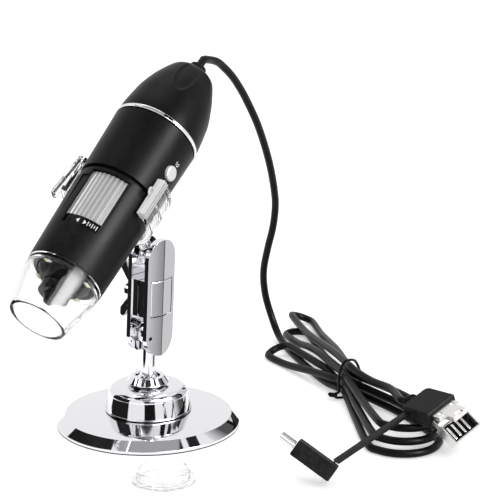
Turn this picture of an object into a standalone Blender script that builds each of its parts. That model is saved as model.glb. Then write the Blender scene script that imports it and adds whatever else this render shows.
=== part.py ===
"""Hand-held digital microscope clipped to a ball-joint table stand, with its cord and plugs.

The origin is the middle of the base's underside and +Z is up. The barrel's pieces are set
out along the barrel's own axis, measured from its nose end.
"""

import math

import bmesh
import bpy
from mathutils import Matrix, Vector

MM = 0.001

# Gaps and cutting allowances
GAP = 0.3 * MM
OVERRUN = 2.0 * MM
WELD = 0.001 * MM
MERGE = 0.01 * MM

# Facets round a turned piece
LARGE_STEPS = 36
MEDIUM_STEPS = 24
SMALL_STEPS = 16

# Base plate
BASE_RADIUS = 34.5 * MM
BASE_LIFT = 0.35 * MM
BASE_BAND = 1.0 * MM
BEVEL_RADIUS = 31.5 * MM
BEVEL_HEIGHT = 4.6 * MM
PLATE_HEIGHT = 6.0 * MM
PLATE_WALL = 0.9 * MM
RIM_WALL = 1.6 * MM
RECESS_HEIGHT = 1.9 * MM
WELL_RADIUS = 29.5 * MM
WEIGHT_THICKNESS = 1.4 * MM
WEIGHT_HOLE = 9.0 * MM
BASE_SCREW_RADIUS = 1.6 * MM
BASE_SCREW_HEAD_RADIUS = 3.6 * MM
BASE_SCREW_HEAD = 1.6 * MM

# Ball housing
FLANGE_RADIUS = 16.4 * MM
FLANGE_HEIGHT = 0.7 * MM
DRUM_FOOT_RADIUS = 16.0 * MM
DRUM_TOP_RADIUS = 15.0 * MM
DRUM_WALL_HEIGHT = 6.3 * MM
SHOULDER = 3.0 * MM
CROWN = 0.3 * MM
NECK_RADIUS = 5.8 * MM
NECK_BORE = 5.25 * MM
NECK_HEIGHT = 2.1 * MM
SEAT_BORE = 6.9 * MM
DRUM_HOLLOW_RADIUS = 13.4 * MM
DRUM_HOLLOW_INNER = 8.4 * MM
DRUM_ROOF = 3.0 * MM
SEAT_PLUG_HEIGHT = 2.4 * MM

# Lower ball and rod
LOWER_BALL_HEIGHT = 15.7 * MM
LOWER_BALL_RADIUS = 4.9 * MM
UPPER_BALL_RADIUS = 4.6 * MM
ROD_RADIUS = 2.6 * MM
ROD_REACH = 20.2 * MM
ROD_LEAN = math.radians(2.48)

# Locking collar
COLLAR_RADIUS = 8.05 * MM
COLLAR_FOOT_RADIUS = 7.0 * MM
COLLAR_TOP_RADIUS = 6.3 * MM
COLLAR_HEIGHT = 3.3 * MM
COLLAR_FLARE = 0.75 * MM
COLLAR_LIP = 1.15 * MM
COLLAR_HOLE = 4.6 * MM

# Clamp arm, x along its bolt, z from the rod's ball to the clip's ball
ARM_REACH = 30.0 * MM
ARM_YAW = math.radians(-39.0)
ARM_HALF_WIDTH = 7.4 * MM
ARM_SLOT_HALF = 3.1 * MM
ARM_EDGE_HALF = 5.0 * MM
ARM_RIDGE_HALF = 6.2 * MM
ARM_SPLIT_HALF = 0.3 * MM
ARM_BLOCK_END = 8.0 * MM
ARM_BLOCK_INSET = 0.5 * MM
PANEL_WIDTH = 11.8 * MM
PANEL_HEIGHT = 14.0 * MM
PANEL_FLOOR = 4.1 * MM
PANEL_PLATE = 0.7 * MM
BOLT_RADIUS = 2.0 * MM
BOLT_HEAD_RADIUS = 3.6 * MM
BOLT_HEAD = 1.3 * MM
BOLT_SEAT = 3.1 * MM
BOLT_END = 12.0 * MM
WASHER_RADIUS = 4.6 * MM
WASHER_THICKNESS = 0.6 * MM
WASHER_SEAT = 5.0 * MM
HUB_RADIUS = 3.5 * MM
HUB_LENGTH = 4.2 * MM
WING_SPAN = 11.3 * MM
WING_THICKNESS = 2.0 * MM
WING_FLARE = 8.4 * MM
PIVOT_MARK_RADIUS = 0.8 * MM
PIVOT_MARK_DEPTH = 0.5 * MM
PIVOT_MARK_OFFSET = 5.4 * MM

# Barrel: its lie, and its outer cone measured from the nose end
BARREL_AZIMUTH = math.radians(55.48)
BARREL_ELEVATION = math.radians(37.5)
BARREL_ROLL = math.radians(-137.55)
CLIP_STATION = 57.7 * MM
CLIP_OFFSET = 34.5 * MM
CLIP_BEARING = math.radians(138.0)
SHELL_START = 19.8 * MM
SHELL_START_RADIUS = 14.67 * MM
SHELL_TAPER_SHARE = 0.0275
SHELL_END = 58.3 * MM
STEP_LENGTH = 2.6 * MM
STEP_DEPTH = 0.4 * MM
SHELL_WALL = 0.95 * MM
REAR_START = 59.5 * MM
REAR_END = 86.1 * MM
REAR_WALL = 1.4 * MM
RING_LENGTH = 1.4 * MM
RING_PROUD = 0.4 * MM
DOME_LENGTH = 31.0 * MM
DOME_WALL = 1.8 * MM
DOME_STATION_SHARES = (0.0, 0.12, 0.32, 0.45, 0.62, 0.75, 0.868, 0.92, 0.957, 0.985, 1.0)
DOME_RADIUS_SHARES = (1.0, 0.988, 0.938, 0.893, 0.794, 0.69, 0.578, 0.508, 0.42, 0.33, 0.262)
DOME_SPIGOT = 6.0 * MM
NECK_SPIGOT_RADIUS = 14.1 * MM
NECK_SPIGOT = 0.9 * MM
NECK_SPIGOT_BORE = 12.9 * MM

# Clear nose cover
NOSE_MOUTH_RADIUS = 10.3 * MM
NOSE_WALL = 1.25 * MM
NOSE_SPIGOT = 4.0 * MM
NOSE_SPIGOT_RADIUS = 13.35 * MM
NOSE_SPIGOT_BORE = 12.45 * MM
NOSE_STATION_SHARES = (0.03, 0.15, 0.31, 0.51, 0.77, 0.985)
NOSE_RADIUS_SHARES = (0.14, 0.26, 0.42, 0.63, 0.88, 0.985)

# Chassis tube, lights and lens
CHASSIS_RADIUS = 11.6 * MM
CHASSIS_BORE = 10.4 * MM
CHASSIS_START = 22.0 * MM
CHASSIS_END = 66.0 * MM
LED_BOARD_STATION = 18.9 * MM
LED_BOARD_THICKNESS = 1.0 * MM
LED_BOARD_RADIUS = 12.1 * MM
LED_BOARD_BORE = 10.75 * MM
LED_CIRCLE = 11.2 * MM
LED_WIDTH = 2.6 * MM
LED_DEPTH = 1.8 * MM
LED_HEIGHT = 1.1 * MM
LED_COUNT = 4
BEZEL_FRONT = 15.3 * MM
BEZEL_BACK = 19.3 * MM
BEZEL_FRONT_RADIUS = 6.9 * MM
BEZEL_RADIUS = 10.4 * MM
BEZEL_BORE = 6.2 * MM
BEZEL_TAIL = 4.7 * MM
LENS_TIP = 7.75 * MM
LENS_TIP_RADIUS = 1.9 * MM
LENS_CONE_RADIUS = 3.5 * MM
LENS_FACE = 10.8 * MM
LENS_RADIUS = 5.9 * MM
LENS_BORE = 4.2 * MM
LENS_PUPIL = 0.8 * MM
LENS_END = 50.0 * MM
CARRIAGE_RADIUS = 10.1 * MM
CARRIAGE_LENGTH = 6.0 * MM
GLASS_STATION = 12.0 * MM
GLASS_THICKNESS = 2.0 * MM
PIN_RADIUS = 1.0 * MM
PIN_STATION = 46.5 * MM
PIN_ROOT = 8.0 * MM
PIN_BEARING = math.radians(150.0)
FOCUS_TRAVEL = 4.0 * MM
FOCUS_TURN = math.radians(120.0)
SLOT_MARGIN = 1.0 * MM

# Focus wheel
WHEEL_START = 33.5 * MM
WHEEL_BAND = 3.9 * MM
WHEEL_END = 57.2 * MM
WHEEL_BAND_RADIUS = 14.1 * MM
WHEEL_CREST = 14.2 * MM
WHEEL_RIB_DEPTH = 0.6 * MM
WHEEL_RIBS = 48
WHEEL_BORE = 12.0 * MM
CAM_DEPTH = 0.9 * MM
RIB_SIDE_SHARES = (-0.20, 0.20, 0.36, 0.64)

# Window, rail and marks in the front shell
WINDOW_START = 33.2 * MM
WINDOW_END = 57.2 * MM
WINDOW_LEFT = math.radians(-52.0)
WINDOW_RIGHT = math.radians(8.0)
RAIL_LEFT = math.radians(-66.0)
RAIL_END = 54.5 * MM
RAIL_DEPTH = 0.3 * MM

# Snap button, switch and boards
BUTTON_STATION = 71.5 * MM
BUTTON_BEARING = math.radians(48.0)
BUTTON_RADIUS = 2.9 * MM
BUTTON_PROUD = 1.0 * MM
BUTTON_FLANGE_RADIUS = 3.9 * MM
BUTTON_FLANGE = 0.8 * MM
BUTTON_STEM_RADIUS = 1.1 * MM
BUTTON_TRAVEL = 0.6 * MM
SWITCH_SIZE = 6.0 * MM
SWITCH_HEIGHT = 2.6 * MM
PLUNGER_RADIUS = 1.7 * MM
PLUNGER_HEIGHT = 0.9 * MM
BOARD_OFFSET = 5.0 * MM
BOARD_THICKNESS = 1.2 * MM
BOARD_WIDTH = 20.0 * MM
BOARD_LENGTH = 30.0 * MM
CHIP_SIZE = 7.0 * MM
CHIP_HEIGHT = 1.2 * MM
SENSOR_BOARD_RADIUS = 10.0 * MM
SENSOR_BOARD_STATION = 62.0 * MM
SENSOR_SIZE = 8.0 * MM
SENSOR_HEIGHT = 1.5 * MM
WIRE_RADIUS = 1.2 * MM
SPRING_OUTER = 2.6 * MM
SPRING_INNER = 1.9 * MM

# Cord gland
GLAND_BASE_RADIUS = 4.7 * MM
GLAND_BASE_LENGTH = 1.4 * MM
GLAND_RADIUS = 3.5 * MM
GLAND_SHOULDER_RADIUS = 2.9 * MM
GLAND_TIP_RADIUS = 1.95 * MM
GLAND_LENGTH = 3.5 * MM
GLAND_RINGS = 2
GLAND_GROOVE = 0.3 * MM

# Clear clip
CLIP_INNER = 16.25 * MM
CLIP_OUTER = 18.4 * MM
CLIP_LENGTH = 16.0 * MM
CLIP_RIB = 1.9 * MM
CLIP_RIB_DEPTH = 0.7 * MM
CLIP_START = math.radians(45.0)
CLIP_SWEEP = math.radians(215.0)
CLIP_BAR = 3.3 * MM
CLIP_BAR_HEIGHT = 3.2 * MM
CLIP_TAB_LENGTH = 18.5 * MM
CLIP_TAB_WIDTH = 4.2 * MM
CLIP_TAB_THICKNESS = 1.9 * MM
CLIP_TAB_FLARE = math.radians(6.0)
STEM_RADIUS = 2.3 * MM
STEM_ROOT_RADIUS = 4.2 * MM
STEM_ROOT = 5.0 * MM

# Tip cap lying on the table
CAP_PLACE = (8.0 * MM, -58.3 * MM)
CAP_FLANGE_RADIUS = 11.5 * MM
CAP_FLANGE = 1.1 * MM
CAP_RING_RADIUS = 9.6 * MM
CAP_RING_WALL = 1.1 * MM
CAP_RING_HEIGHT = 3.3 * MM

# Cord
CORD_RADIUS = 1.5 * MM
CORD_STEP = 4.5 * MM

# Route of the free stretch, chosen point by point, from the gland's tip to the tie
FREE_ROUTE = [
    (22.5 * MM, 30.3 * MM, 134.1 * MM),
    (23.9 * MM, 33.6 * MM, 133.3 * MM),
    (25.8 * MM, 36.6 * MM, 132.2 * MM),
    (27.6 * MM, 39.8 * MM, 130.3 * MM),
    (31.5 * MM, 45.7 * MM, 125.0 * MM),
    (35.0 * MM, 51.5 * MM, 118.4 * MM),
    (38.1 * MM, 57.0 * MM, 111.2 * MM),
    (41.5 * MM, 63.0 * MM, 102.2 * MM),
    (44.6 * MM, 70.0 * MM, 91.3 * MM),
    (47.0 * MM, 76.0 * MM, 80.5 * MM),
    (48.6 * MM, 82.0 * MM, 69.4 * MM),
    (48.9 * MM, 86.0 * MM, 61.9 * MM),
    (48.0 * MM, 90.0 * MM, 52.7 * MM),
    (46.1 * MM, 94.0 * MM, 43.4 * MM),
    (44.5 * MM, 98.0 * MM, 33.9 * MM),
    (44.3 * MM, 101.0 * MM, 26.3 * MM),
    (45.4 * MM, 103.5 * MM, 18.0 * MM),
    (47.8 * MM, 103.6 * MM, 9.6 * MM),
    (50.6 * MM, 98.5 * MM, 3.3 * MM),
    (54.0 * MM, 86.0 * MM, 1.75 * MM),
    (58.2 * MM, 72.0 * MM, 1.65 * MM),
]

# Hank: its loops run through a tie, long folds in front and narrow folds behind
TIE_PLACE = (77.5 * MM, 28.0 * MM)
HANK_BEARING = math.radians(-75.0)
COLUMN_HALF = 1.95 * MM
LAYER = 3.5 * MM
FIRST_LAYER = 1.55 * MM
TIE_LIFT = 1.3 * MM
LIFT_REACH = 24.0 * MM
LEAD_IN = 5.0 * MM
# Each row: length, sideways place and radius of a fold
FRONT_FOLDS = [
    (67.0 * MM, 3.3 * MM, 13.3 * MM),
    (64.0 * MM, 4.5 * MM, 12.0 * MM),
    (60.0 * MM, 6.5 * MM, 11.0 * MM),
]
BACK_FOLDS = [
    (58.0 * MM, -13.2 * MM, 4.6 * MM),
    (83.0 * MM, 1.6 * MM, 4.6 * MM),
    (98.0 * MM, 8.4 * MM, 4.6 * MM),
]
# Each row: where a back run starts and ends its change of layer, going out and coming in
BACK_CLIMBS = [
    (8.0 * MM, 24.0 * MM, 14.0 * MM, 46.0 * MM),
    (14.0 * MM, 50.0 * MM, 29.0 * MM, 78.0 * MM),
    (20.0 * MM, 93.0 * MM, 10.0 * MM, 80.0 * MM),
]
FRONT_RUN_POINTS = 2
BACK_RUN_POINTS = 5
FRONT_FOLD_POINTS = 6
BACK_FOLD_POINTS = 4
RETURN_BULGE_SHARE = 0.75
# Route of the lead-in between the free stretch and the tie, and from the tie to the plug
TIE_APPROACH = [(-34.0 * MM, -6.3 * MM), (-17.0 * MM, -5.0 * MM)]
PLUG_APPROACH = [(8.0 * MM, 0.9 * MM, 12.1 * MM), (18.0 * MM, 3.4 * MM, 12.5 * MM), (31.0 * MM, 6.3 * MM, 13.9 * MM)]

# Tie wire round the hank's waist
TIE_WIRE_RADIUS = 0.4 * MM
TIE_CLEAR = 0.45 * MM
TIE_TAIL = 4.5 * MM
TIE_TAIL_RISE = 1.3 * MM

# Plug: x out of its front face, y across, z up from its broad face
PLUG_PLACE = (108.45 * MM, -30.8 * MM, 16.0 * MM)
PLUG_TURN = (math.radians(17.56), math.radians(-2.98), math.radians(-47.83))
PLUG_LENGTH = 13.5 * MM
PLUG_WIDTH = 14.9 * MM
PLUG_THICKNESS = 6.4 * MM
PLUG_ROUND = 1.2 * MM
NUB_RADIUS = 2.5 * MM
NUB_LENGTH = 4.2 * MM
TONGUE_WIDTH = 11.6 * MM
TONGUE_LENGTH = 4.2 * MM
TONGUE_TOP = 1.65 * MM
TONGUE_THICKNESS = 2.0 * MM
TIP_WIDTH = 7.2 * MM
TIP_LENGTH = 5.1 * MM
TRAY_LENGTH = 10.9 * MM
TRAY_START = 2.5 * MM
TRAY_WIDTH = 13.5 * MM
TRAY_ABOVE = 1.9 * MM
TRAY_BELOW = 2.5 * MM
TRAY_WALL = 0.5 * MM
TRAY_HINGE = (1.4 * MM, -1.15 * MM)
TRAY_OPEN = math.radians(42.5)
EAR_RADIUS = 0.8 * MM
EAR_THICKNESS = 0.6 * MM
CONTACT_WIDTH = 1.0 * MM
CONTACT_HEIGHT = 0.5 * MM
CONTACT_COUNT = 4
INSULATOR_HEIGHT = 1.3 * MM

# Tether and its adapter: x from the metal plug to the port, y across, z up
ADAPTER_PLACE = (54.5 * MM, -58.0 * MM, 13.0 * MM)
ADAPTER_TURN = (math.radians(-17.42), math.radians(32.29), math.radians(-16.83))
ADAPTER_LENGTH = 16.6 * MM
ADAPTER_WIDTH = 9.2 * MM
ADAPTER_THICKNESS = 6.0 * MM
ADAPTER_ROUND = 1.6 * MM
SMALL_PLUG_LENGTH = 6.3 * MM
SMALL_PLUG_WIDTH = 7.8 * MM
SMALL_PLUG_THICKNESS = 2.5 * MM
SMALL_PLUG_WALL = 0.4 * MM
SMALL_PLUG_ROOT = 0.8 * MM
PORT_WIDTH = 6.6 * MM
PORT_THICKNESS = 3.0 * MM
PORT_DEPTH = 5.0 * MM
STRAP_WIDTH = 2.8 * MM
STRAP_THICKNESS = 1.6 * MM
STRAP_ROUND = 0.5 * MM
STRAP_START_BACK = 11.6 * MM

OBJECT_NAME = "digital_microscope"


def clear_scene():
    """Take every object out of the open file."""
    for obj in list(bpy.data.objects):
        bpy.data.objects.remove(obj, do_unlink=True)


def new_collection(name):
    """Return a new collection linked under the scene."""
    made = bpy.data.collections.new(name)
    bpy.context.scene.collection.children.link(made)
    return made


def material(name, colour, roughness, metallic=0.0, clear=0.0):
    """Return a Principled material."""
    made = bpy.data.materials.new(name)
    made.use_nodes = True
    shader = made.node_tree.nodes["Principled BSDF"]
    shader.inputs["Base Color"].default_value = (*colour, 1.0)
    shader.inputs["Roughness"].default_value = roughness
    shader.inputs["Metallic"].default_value = metallic
    shader.inputs["Transmission Weight"].default_value = clear
    return made


def empty(name, matrix, parent=None):
    """Return an empty that holds the pieces set out in its own frame."""
    made = bpy.data.objects.new(name, None)
    PARTS.objects.link(made)
    made.parent = parent
    made.matrix_local = matrix
    bpy.context.view_layer.update()
    return made


def place(obj, at=(0.0, 0.0, 0.0), turn=(0.0, 0.0, 0.0), parent=None):
    """Put an object at a place and turn in its parent's frame."""
    obj.location = at
    obj.rotation_euler = turn
    obj.parent = parent
    return obj


def mesh_object(name, mesh, finish=None):
    """Link a mesh as an object, smooth with sharp edges kept."""
    made = bpy.data.objects.new(name, mesh)
    PARTS.objects.link(made)
    if finish is not None:
        mesh.materials.append(finish)
    if mesh.polygons:
        mesh.shade_smooth()
        mesh.set_sharp_from_angle(angle=math.radians(35.0))
    return made


def turned(name, outline, steps, finish=None):
    """Turn an outline of radius and height pairs about z. One that starts on the axis ends on it."""
    area = 0.0
    count = len(outline)
    for i in range(count):
        r0, z0 = outline[i]
        r1, z1 = outline[(i + 1) % count]
        area += r0 * z1 - r1 * z0
    points = list(outline) if area < 0.0 else list(reversed(outline))
    mesh = bpy.data.meshes.new(name)
    edges = [(i, i + 1) for i in range(count - 1)]
    if outline[0][0] > 0.0:
        edges.append((count - 1, 0))
    mesh.from_pydata([(r, 0.0, z) for r, z in points], edges, [])
    made = mesh_object(name, mesh, finish)
    screw = made.modifiers.new("turn", "SCREW")
    screw.steps = steps
    screw.render_steps = steps
    screw.use_merge_vertices = True
    screw.merge_threshold = WELD
    screw.use_smooth_shade = True
    return made


def cylinder(name, radius, low, high, steps, finish=None, top_radius=None):
    """Return a cylinder or cone about z between two heights."""
    mesh = bpy.data.meshes.new(name)
    shape = bmesh.new()
    bmesh.ops.create_cone(
        shape, cap_ends=True, segments=steps, radius1=radius,
        radius2=radius if top_radius is None else top_radius, depth=high - low,
        matrix=Matrix.Translation((0.0, 0.0, (low + high) / 2)))
    shape.to_mesh(mesh)
    shape.free()
    return mesh_object(name, mesh, finish)


def sphere(name, radius, steps, finish=None):
    """Return a ball."""
    mesh = bpy.data.meshes.new(name)
    shape = bmesh.new()
    bmesh.ops.create_uvsphere(shape, u_segments=steps, v_segments=steps // 2, radius=radius)
    shape.to_mesh(mesh)
    shape.free()
    return mesh_object(name, mesh, finish)


def box(name, size, centre=(0.0, 0.0, 0.0), finish=None, rounding=0.0, segments=2):
    """Return a box with its size in its mesh and, if asked, rounded edges."""
    mesh = bpy.data.meshes.new(name)
    shape = bmesh.new()
    bmesh.ops.create_cube(shape, size=1.0)
    bmesh.ops.scale(shape, vec=size, verts=shape.verts)
    bmesh.ops.translate(shape, vec=centre, verts=shape.verts)
    shape.to_mesh(mesh)
    shape.free()
    made = mesh_object(name, mesh, finish)
    if rounding > 0.0:
        bevel = made.modifiers.new("round", "BEVEL")
        bevel.width = rounding
        bevel.segments = segments
    return made


def meshed(curve_object, name, finish=None):
    """Make a curve object a welded mesh object and remove the curve."""
    graph = bpy.context.evaluated_depsgraph_get()
    mesh = bpy.data.meshes.new_from_object(curve_object.evaluated_get(graph))
    shape = bmesh.new()
    shape.from_mesh(mesh)
    bmesh.ops.remove_doubles(shape, verts=shape.verts, dist=MERGE)
    bmesh.ops.recalc_face_normals(shape, faces=shape.faces)
    shape.to_mesh(mesh)
    shape.free()
    matrix = curve_object.matrix_world.copy()
    bpy.data.objects.remove(curve_object, do_unlink=True)
    mesh.materials.clear()
    made = mesh_object(name, mesh, finish)
    made.matrix_world = matrix
    return made


def plate(name, outline, low, high, finish=None):
    """Extrude a flat outline in the xy plane between two heights."""
    data = bpy.data.curves.new(name, "CURVE")
    data.dimensions = "2D"
    data.fill_mode = "BOTH"
    data.extrude = (high - low) / 2
    spline = data.splines.new("POLY")
    spline.points.add(len(outline) - 1)
    for point, (x, y) in zip(spline.points, outline):
        point.co = (x, y, 0.0, 1.0)
    spline.use_cyclic_u = True
    flat = bpy.data.objects.new(name + "_outline", data)
    PARTS.objects.link(flat)
    flat.location.z = (low + high) / 2
    bpy.context.view_layer.update()
    made = meshed(flat, name, finish)
    made.data.transform(made.matrix_world)
    made.matrix_world = Matrix.Identity(4)
    return made


def tube(name, points, radius, resolution, finish=None, cyclic=False):
    """Return a curve object that runs a round tube along points."""
    data = bpy.data.curves.new(name, "CURVE")
    data.dimensions = "3D"
    data.bevel_depth = radius
    data.bevel_resolution = resolution
    data.use_fill_caps = True
    spline = data.splines.new("POLY")
    spline.points.add(len(points) - 1)
    for point, co in zip(spline.points, points):
        point.co = (*co, 1.0)
    spline.use_cyclic_u = cyclic
    spline.use_smooth = True
    if finish is not None:
        data.materials.append(finish)
    made = bpy.data.objects.new(name, data)
    PARTS.objects.link(made)
    return made


def tool(obj):
    """Move a helper shape to the cutters, out of the model."""
    PARTS.objects.unlink(obj)
    CUTTERS.objects.link(obj)
    obj.hide_render = True
    obj.display_type = "WIRE"
    return obj


def combine(obj, other, operation="DIFFERENCE"):
    """Cut one shape from another, or join it."""
    change = obj.modifiers.new(operation.lower(), "BOOLEAN")
    change.operation = operation
    change.solver = "EXACT"
    change.object = tool(other)
    return obj


def smooth_step(share):
    """Ease from 0 to 1."""
    share = min(max(share, 0.0), 1.0)
    return share * share * (3.0 - 2.0 * share)


def arc(radius, start, end, count, centre=(0.0, 0.0)):
    """Points of an arc."""
    return [(centre[0] + radius * math.cos(start + (end - start) * i / count),
             centre[1] + radius * math.sin(start + (end - start) * i / count)) for i in range(count + 1)]


def sector(inner, outer, start, end, count):
    """Outline of a ring's sector."""
    return arc(outer, start, end, count) + list(reversed(arc(inner, start, end, count)))


def shell_radius(station):
    """Outer radius of the barrel's cone at a station from the nose end."""
    return SHELL_START_RADIUS + SHELL_TAPER_SHARE * (station - SHELL_START)


def radial_place(bearing, station, parent, name):
    """Return an empty on the barrel's axis whose z points outward on a bearing."""
    matrix = (Matrix.Translation((0.0, 0.0, station)) @ Matrix.Rotation(bearing, 4, "Z")
              @ Matrix.Rotation(math.pi / 2, 4, "Y"))
    return empty(name, matrix, parent)


def make_base():
    """Base plate with its pad and weight, ball housing, plug and screw."""
    rim_bottom = BASE_LIFT
    recess = BASE_RADIUS - RIM_WALL
    cone_inner = PLATE_HEIGHT - PLATE_WALL
    turned("base_shell", [
        (BASE_SCREW_RADIUS + GAP, PLATE_HEIGHT), (FLANGE_RADIUS, PLATE_HEIGHT), (BEVEL_RADIUS, BEVEL_HEIGHT),
        (BASE_RADIUS, rim_bottom + BASE_BAND), (BASE_RADIUS, rim_bottom), (recess, rim_bottom),
        (recess, RECESS_HEIGHT), (WELL_RADIUS, RECESS_HEIGHT), (WELL_RADIUS, BEVEL_HEIGHT - PLATE_WALL),
        (FLANGE_RADIUS, cone_inner), (BASE_SCREW_RADIUS + GAP, cone_inner)], LARGE_STEPS, CHROME)
    turned("foot_pad", [(0.0, RECESS_HEIGHT - GAP), (recess - GAP, RECESS_HEIGHT - GAP), (recess - GAP, 0.0),
                        (0.0, 0.0)], LARGE_STEPS, RUBBER)
    weight_low = RECESS_HEIGHT
    turned("base_weight", [
        (WELL_RADIUS - GAP, weight_low + WEIGHT_THICKNESS), (WELL_RADIUS - GAP, weight_low),
        (WEIGHT_HOLE, weight_low), (WEIGHT_HOLE, weight_low + WEIGHT_THICKNESS)], MEDIUM_STEPS, STEEL)
    drum_low = PLATE_HEIGHT + GAP
    wall_low = drum_low + FLANGE_HEIGHT
    wall_top = drum_low + DRUM_WALL_HEIGHT
    top = wall_top + SHOULDER
    shoulder = [(DRUM_TOP_RADIUS - SHOULDER + SHOULDER * math.sin(a), wall_top + SHOULDER * math.cos(a))
                for a in (math.pi * i / 8 for i in range(5))]
    neck_foot = top + CROWN
    turned("ball_housing", [
        (NECK_BORE, neck_foot + NECK_HEIGHT), (NECK_RADIUS, neck_foot + NECK_HEIGHT), (NECK_RADIUS, neck_foot)]
        + shoulder + [
        (DRUM_FOOT_RADIUS, wall_low), (FLANGE_RADIUS, wall_low), (FLANGE_RADIUS, drum_low),
        (DRUM_HOLLOW_RADIUS, drum_low), (DRUM_HOLLOW_RADIUS, top - DRUM_ROOF),
        (DRUM_HOLLOW_INNER, top - DRUM_ROOF), (DRUM_HOLLOW_INNER, drum_low), (SEAT_BORE, drum_low),
        (SEAT_BORE, LOWER_BALL_HEIGHT - GAP), (NECK_BORE, LOWER_BALL_HEIGHT - GAP)], LARGE_STEPS, CHROME)
    plug_top = drum_low + SEAT_PLUG_HEIGHT
    screw_top = plug_top - BASE_SCREW_RADIUS / 2
    turned("seat_plug", [
        (0.0, plug_top), (SEAT_BORE - GAP, plug_top), (SEAT_BORE - GAP, drum_low),
        (BASE_SCREW_RADIUS + GAP, drum_low), (BASE_SCREW_RADIUS + GAP, screw_top + GAP),
        (0.0, screw_top + GAP)], MEDIUM_STEPS, STEEL)
    head_top = cone_inner - GAP
    turned("base_screw", [
        (0.0, screw_top), (BASE_SCREW_RADIUS, screw_top), (BASE_SCREW_RADIUS, head_top),
        (BASE_SCREW_HEAD_RADIUS, head_top), (BASE_SCREW_HEAD_RADIUS, head_top - BASE_SCREW_HEAD),
        (0.0, head_top - BASE_SCREW_HEAD)], SMALL_STEPS, STEEL)
    return neck_foot, plug_top


def make_ball_joint(neck_foot, plug_top):
    """Collar, seat and rod, and the frames of the tilt and of the arm."""
    low = neck_foot + GAP
    high = low + COLLAR_HEIGHT
    bore = NECK_RADIUS + GAP
    turned("locking_collar", [
        (COLLAR_HOLE, high), (COLLAR_TOP_RADIUS, high), (COLLAR_RADIUS, low + COLLAR_FLARE),
        (COLLAR_FOOT_RADIUS, low), (bore, low), (bore, high - COLLAR_LIP), (COLLAR_HOLE, high - COLLAR_LIP)],
        MEDIUM_STEPS, CHROME)
    cup_radius = SEAT_BORE - GAP
    socket = LOWER_BALL_RADIUS + GAP
    cup_top = LOWER_BALL_HEIGHT - 2 * GAP
    dip = math.acos((LOWER_BALL_HEIGHT - cup_top) / socket)
    bowl = [(socket * math.sin(dip * (1 - i / 6)), LOWER_BALL_HEIGHT - socket * math.cos(dip * (1 - i / 6)))
            for i in range(7)]
    turned("lower_ball_seat", list(reversed(bowl)) + [
        (cup_radius, cup_top), (cup_radius, plug_top + GAP), (0.0, plug_top + GAP)], MEDIUM_STEPS, NYLON)

    tilt = empty("tilt_axis", Matrix.Translation((0.0, 0.0, LOWER_BALL_HEIGHT))
                 @ Matrix.Rotation(ROD_LEAN, 4, "Y"))
    lower = math.asin(ROD_RADIUS / LOWER_BALL_RADIUS)
    upper = math.asin(ROD_RADIUS / UPPER_BALL_RADIUS)
    outline = [(LOWER_BALL_RADIUS * math.sin(math.pi - (math.pi - lower) * i / 8),
                LOWER_BALL_RADIUS * math.cos(math.pi - (math.pi - lower) * i / 8)) for i in range(9)]
    outline += [(UPPER_BALL_RADIUS * math.sin(math.pi - upper - (math.pi - upper) * i / 8),
                 ROD_REACH + UPPER_BALL_RADIUS * math.cos(math.pi - upper - (math.pi - upper) * i / 8))
                for i in range(9)]
    outline[0] = (0.0, outline[0][1])
    outline[-1] = (0.0, outline[-1][1])
    place(turned("stand_rod", outline, 20, CHROME), parent=tilt)
    return empty("arm_axis", Matrix.Translation((0.0, 0.0, ROD_REACH)) @ Matrix.Rotation(ARM_YAW, 4, "Z"), tilt)


def arm_shell(name, side, arm):
    """One half of the clamp arm: a capsule plate outside, a block inside, ball pockets and a roofed face."""
    flank = ARM_HALF_WIDTH + OVERRUN
    flank_half = ARM_RIDGE_HALF - (ARM_RIDGE_HALF - ARM_EDGE_HALF) * flank / ARM_HALF_WIDTH
    roof = [(side * ARM_SLOT_HALF, -flank), (side * flank_half, -flank), (side * ARM_RIDGE_HALF, 0.0),
            (side * flank_half, flank), (side * ARM_SLOT_HALF, flank)]
    body = plate(name, roof, -flank, ARM_REACH + flank, CHROME)
    body.parent = arm
    outline = arc(ARM_HALF_WIDTH, math.pi / 2, 3 * math.pi / 2, 9) + arc(
        ARM_HALF_WIDTH, -math.pi / 2, math.pi / 2, 9, (ARM_REACH, 0.0))
    capsule = plate(name + "_capsule", [(-x, y) for x, y in outline], -flank, flank)
    place(capsule, turn=(0.0, math.pi / 2, 0.0), parent=arm)
    combine(body, capsule, "INTERSECT")
    block_half = ARM_HALF_WIDTH - ARM_BLOCK_INSET
    block_depth = ARM_SLOT_HALF - ARM_SPLIT_HALF + PIVOT_MARK_DEPTH
    block = box(name + "_block", (block_depth, 2 * block_half, ARM_REACH - 2 * ARM_BLOCK_END),
                (side * (ARM_SPLIT_HALF + block_depth / 2), 0.0, ARM_REACH / 2))
    place(block, parent=arm)
    combine(body, block, "UNION")
    for height in (0.0, ARM_REACH):
        pocket = sphere(f"{name}_pocket_{height > 0}", UPPER_BALL_RADIUS + GAP, 20)
        place(pocket, (0.0, 0.0, height), (0.0, math.pi / 2, 0.0), arm)
        combine(body, pocket)
    hole = cylinder(name + "_bolt_hole", BOLT_RADIUS + GAP, -ARM_RIDGE_HALF - OVERRUN, ARM_RIDGE_HALF + OVERRUN,
                    SMALL_STEPS)
    # Half a step round, so that no corner of the hole falls on the ridge
    hole.data.transform(Matrix.Rotation(math.pi / SMALL_STEPS, 4, "Z"))
    place(hole, (0.0, 0.0, ARM_REACH / 2), (0.0, math.pi / 2, 0.0), arm)
    combine(body, hole)
    return body


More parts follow.
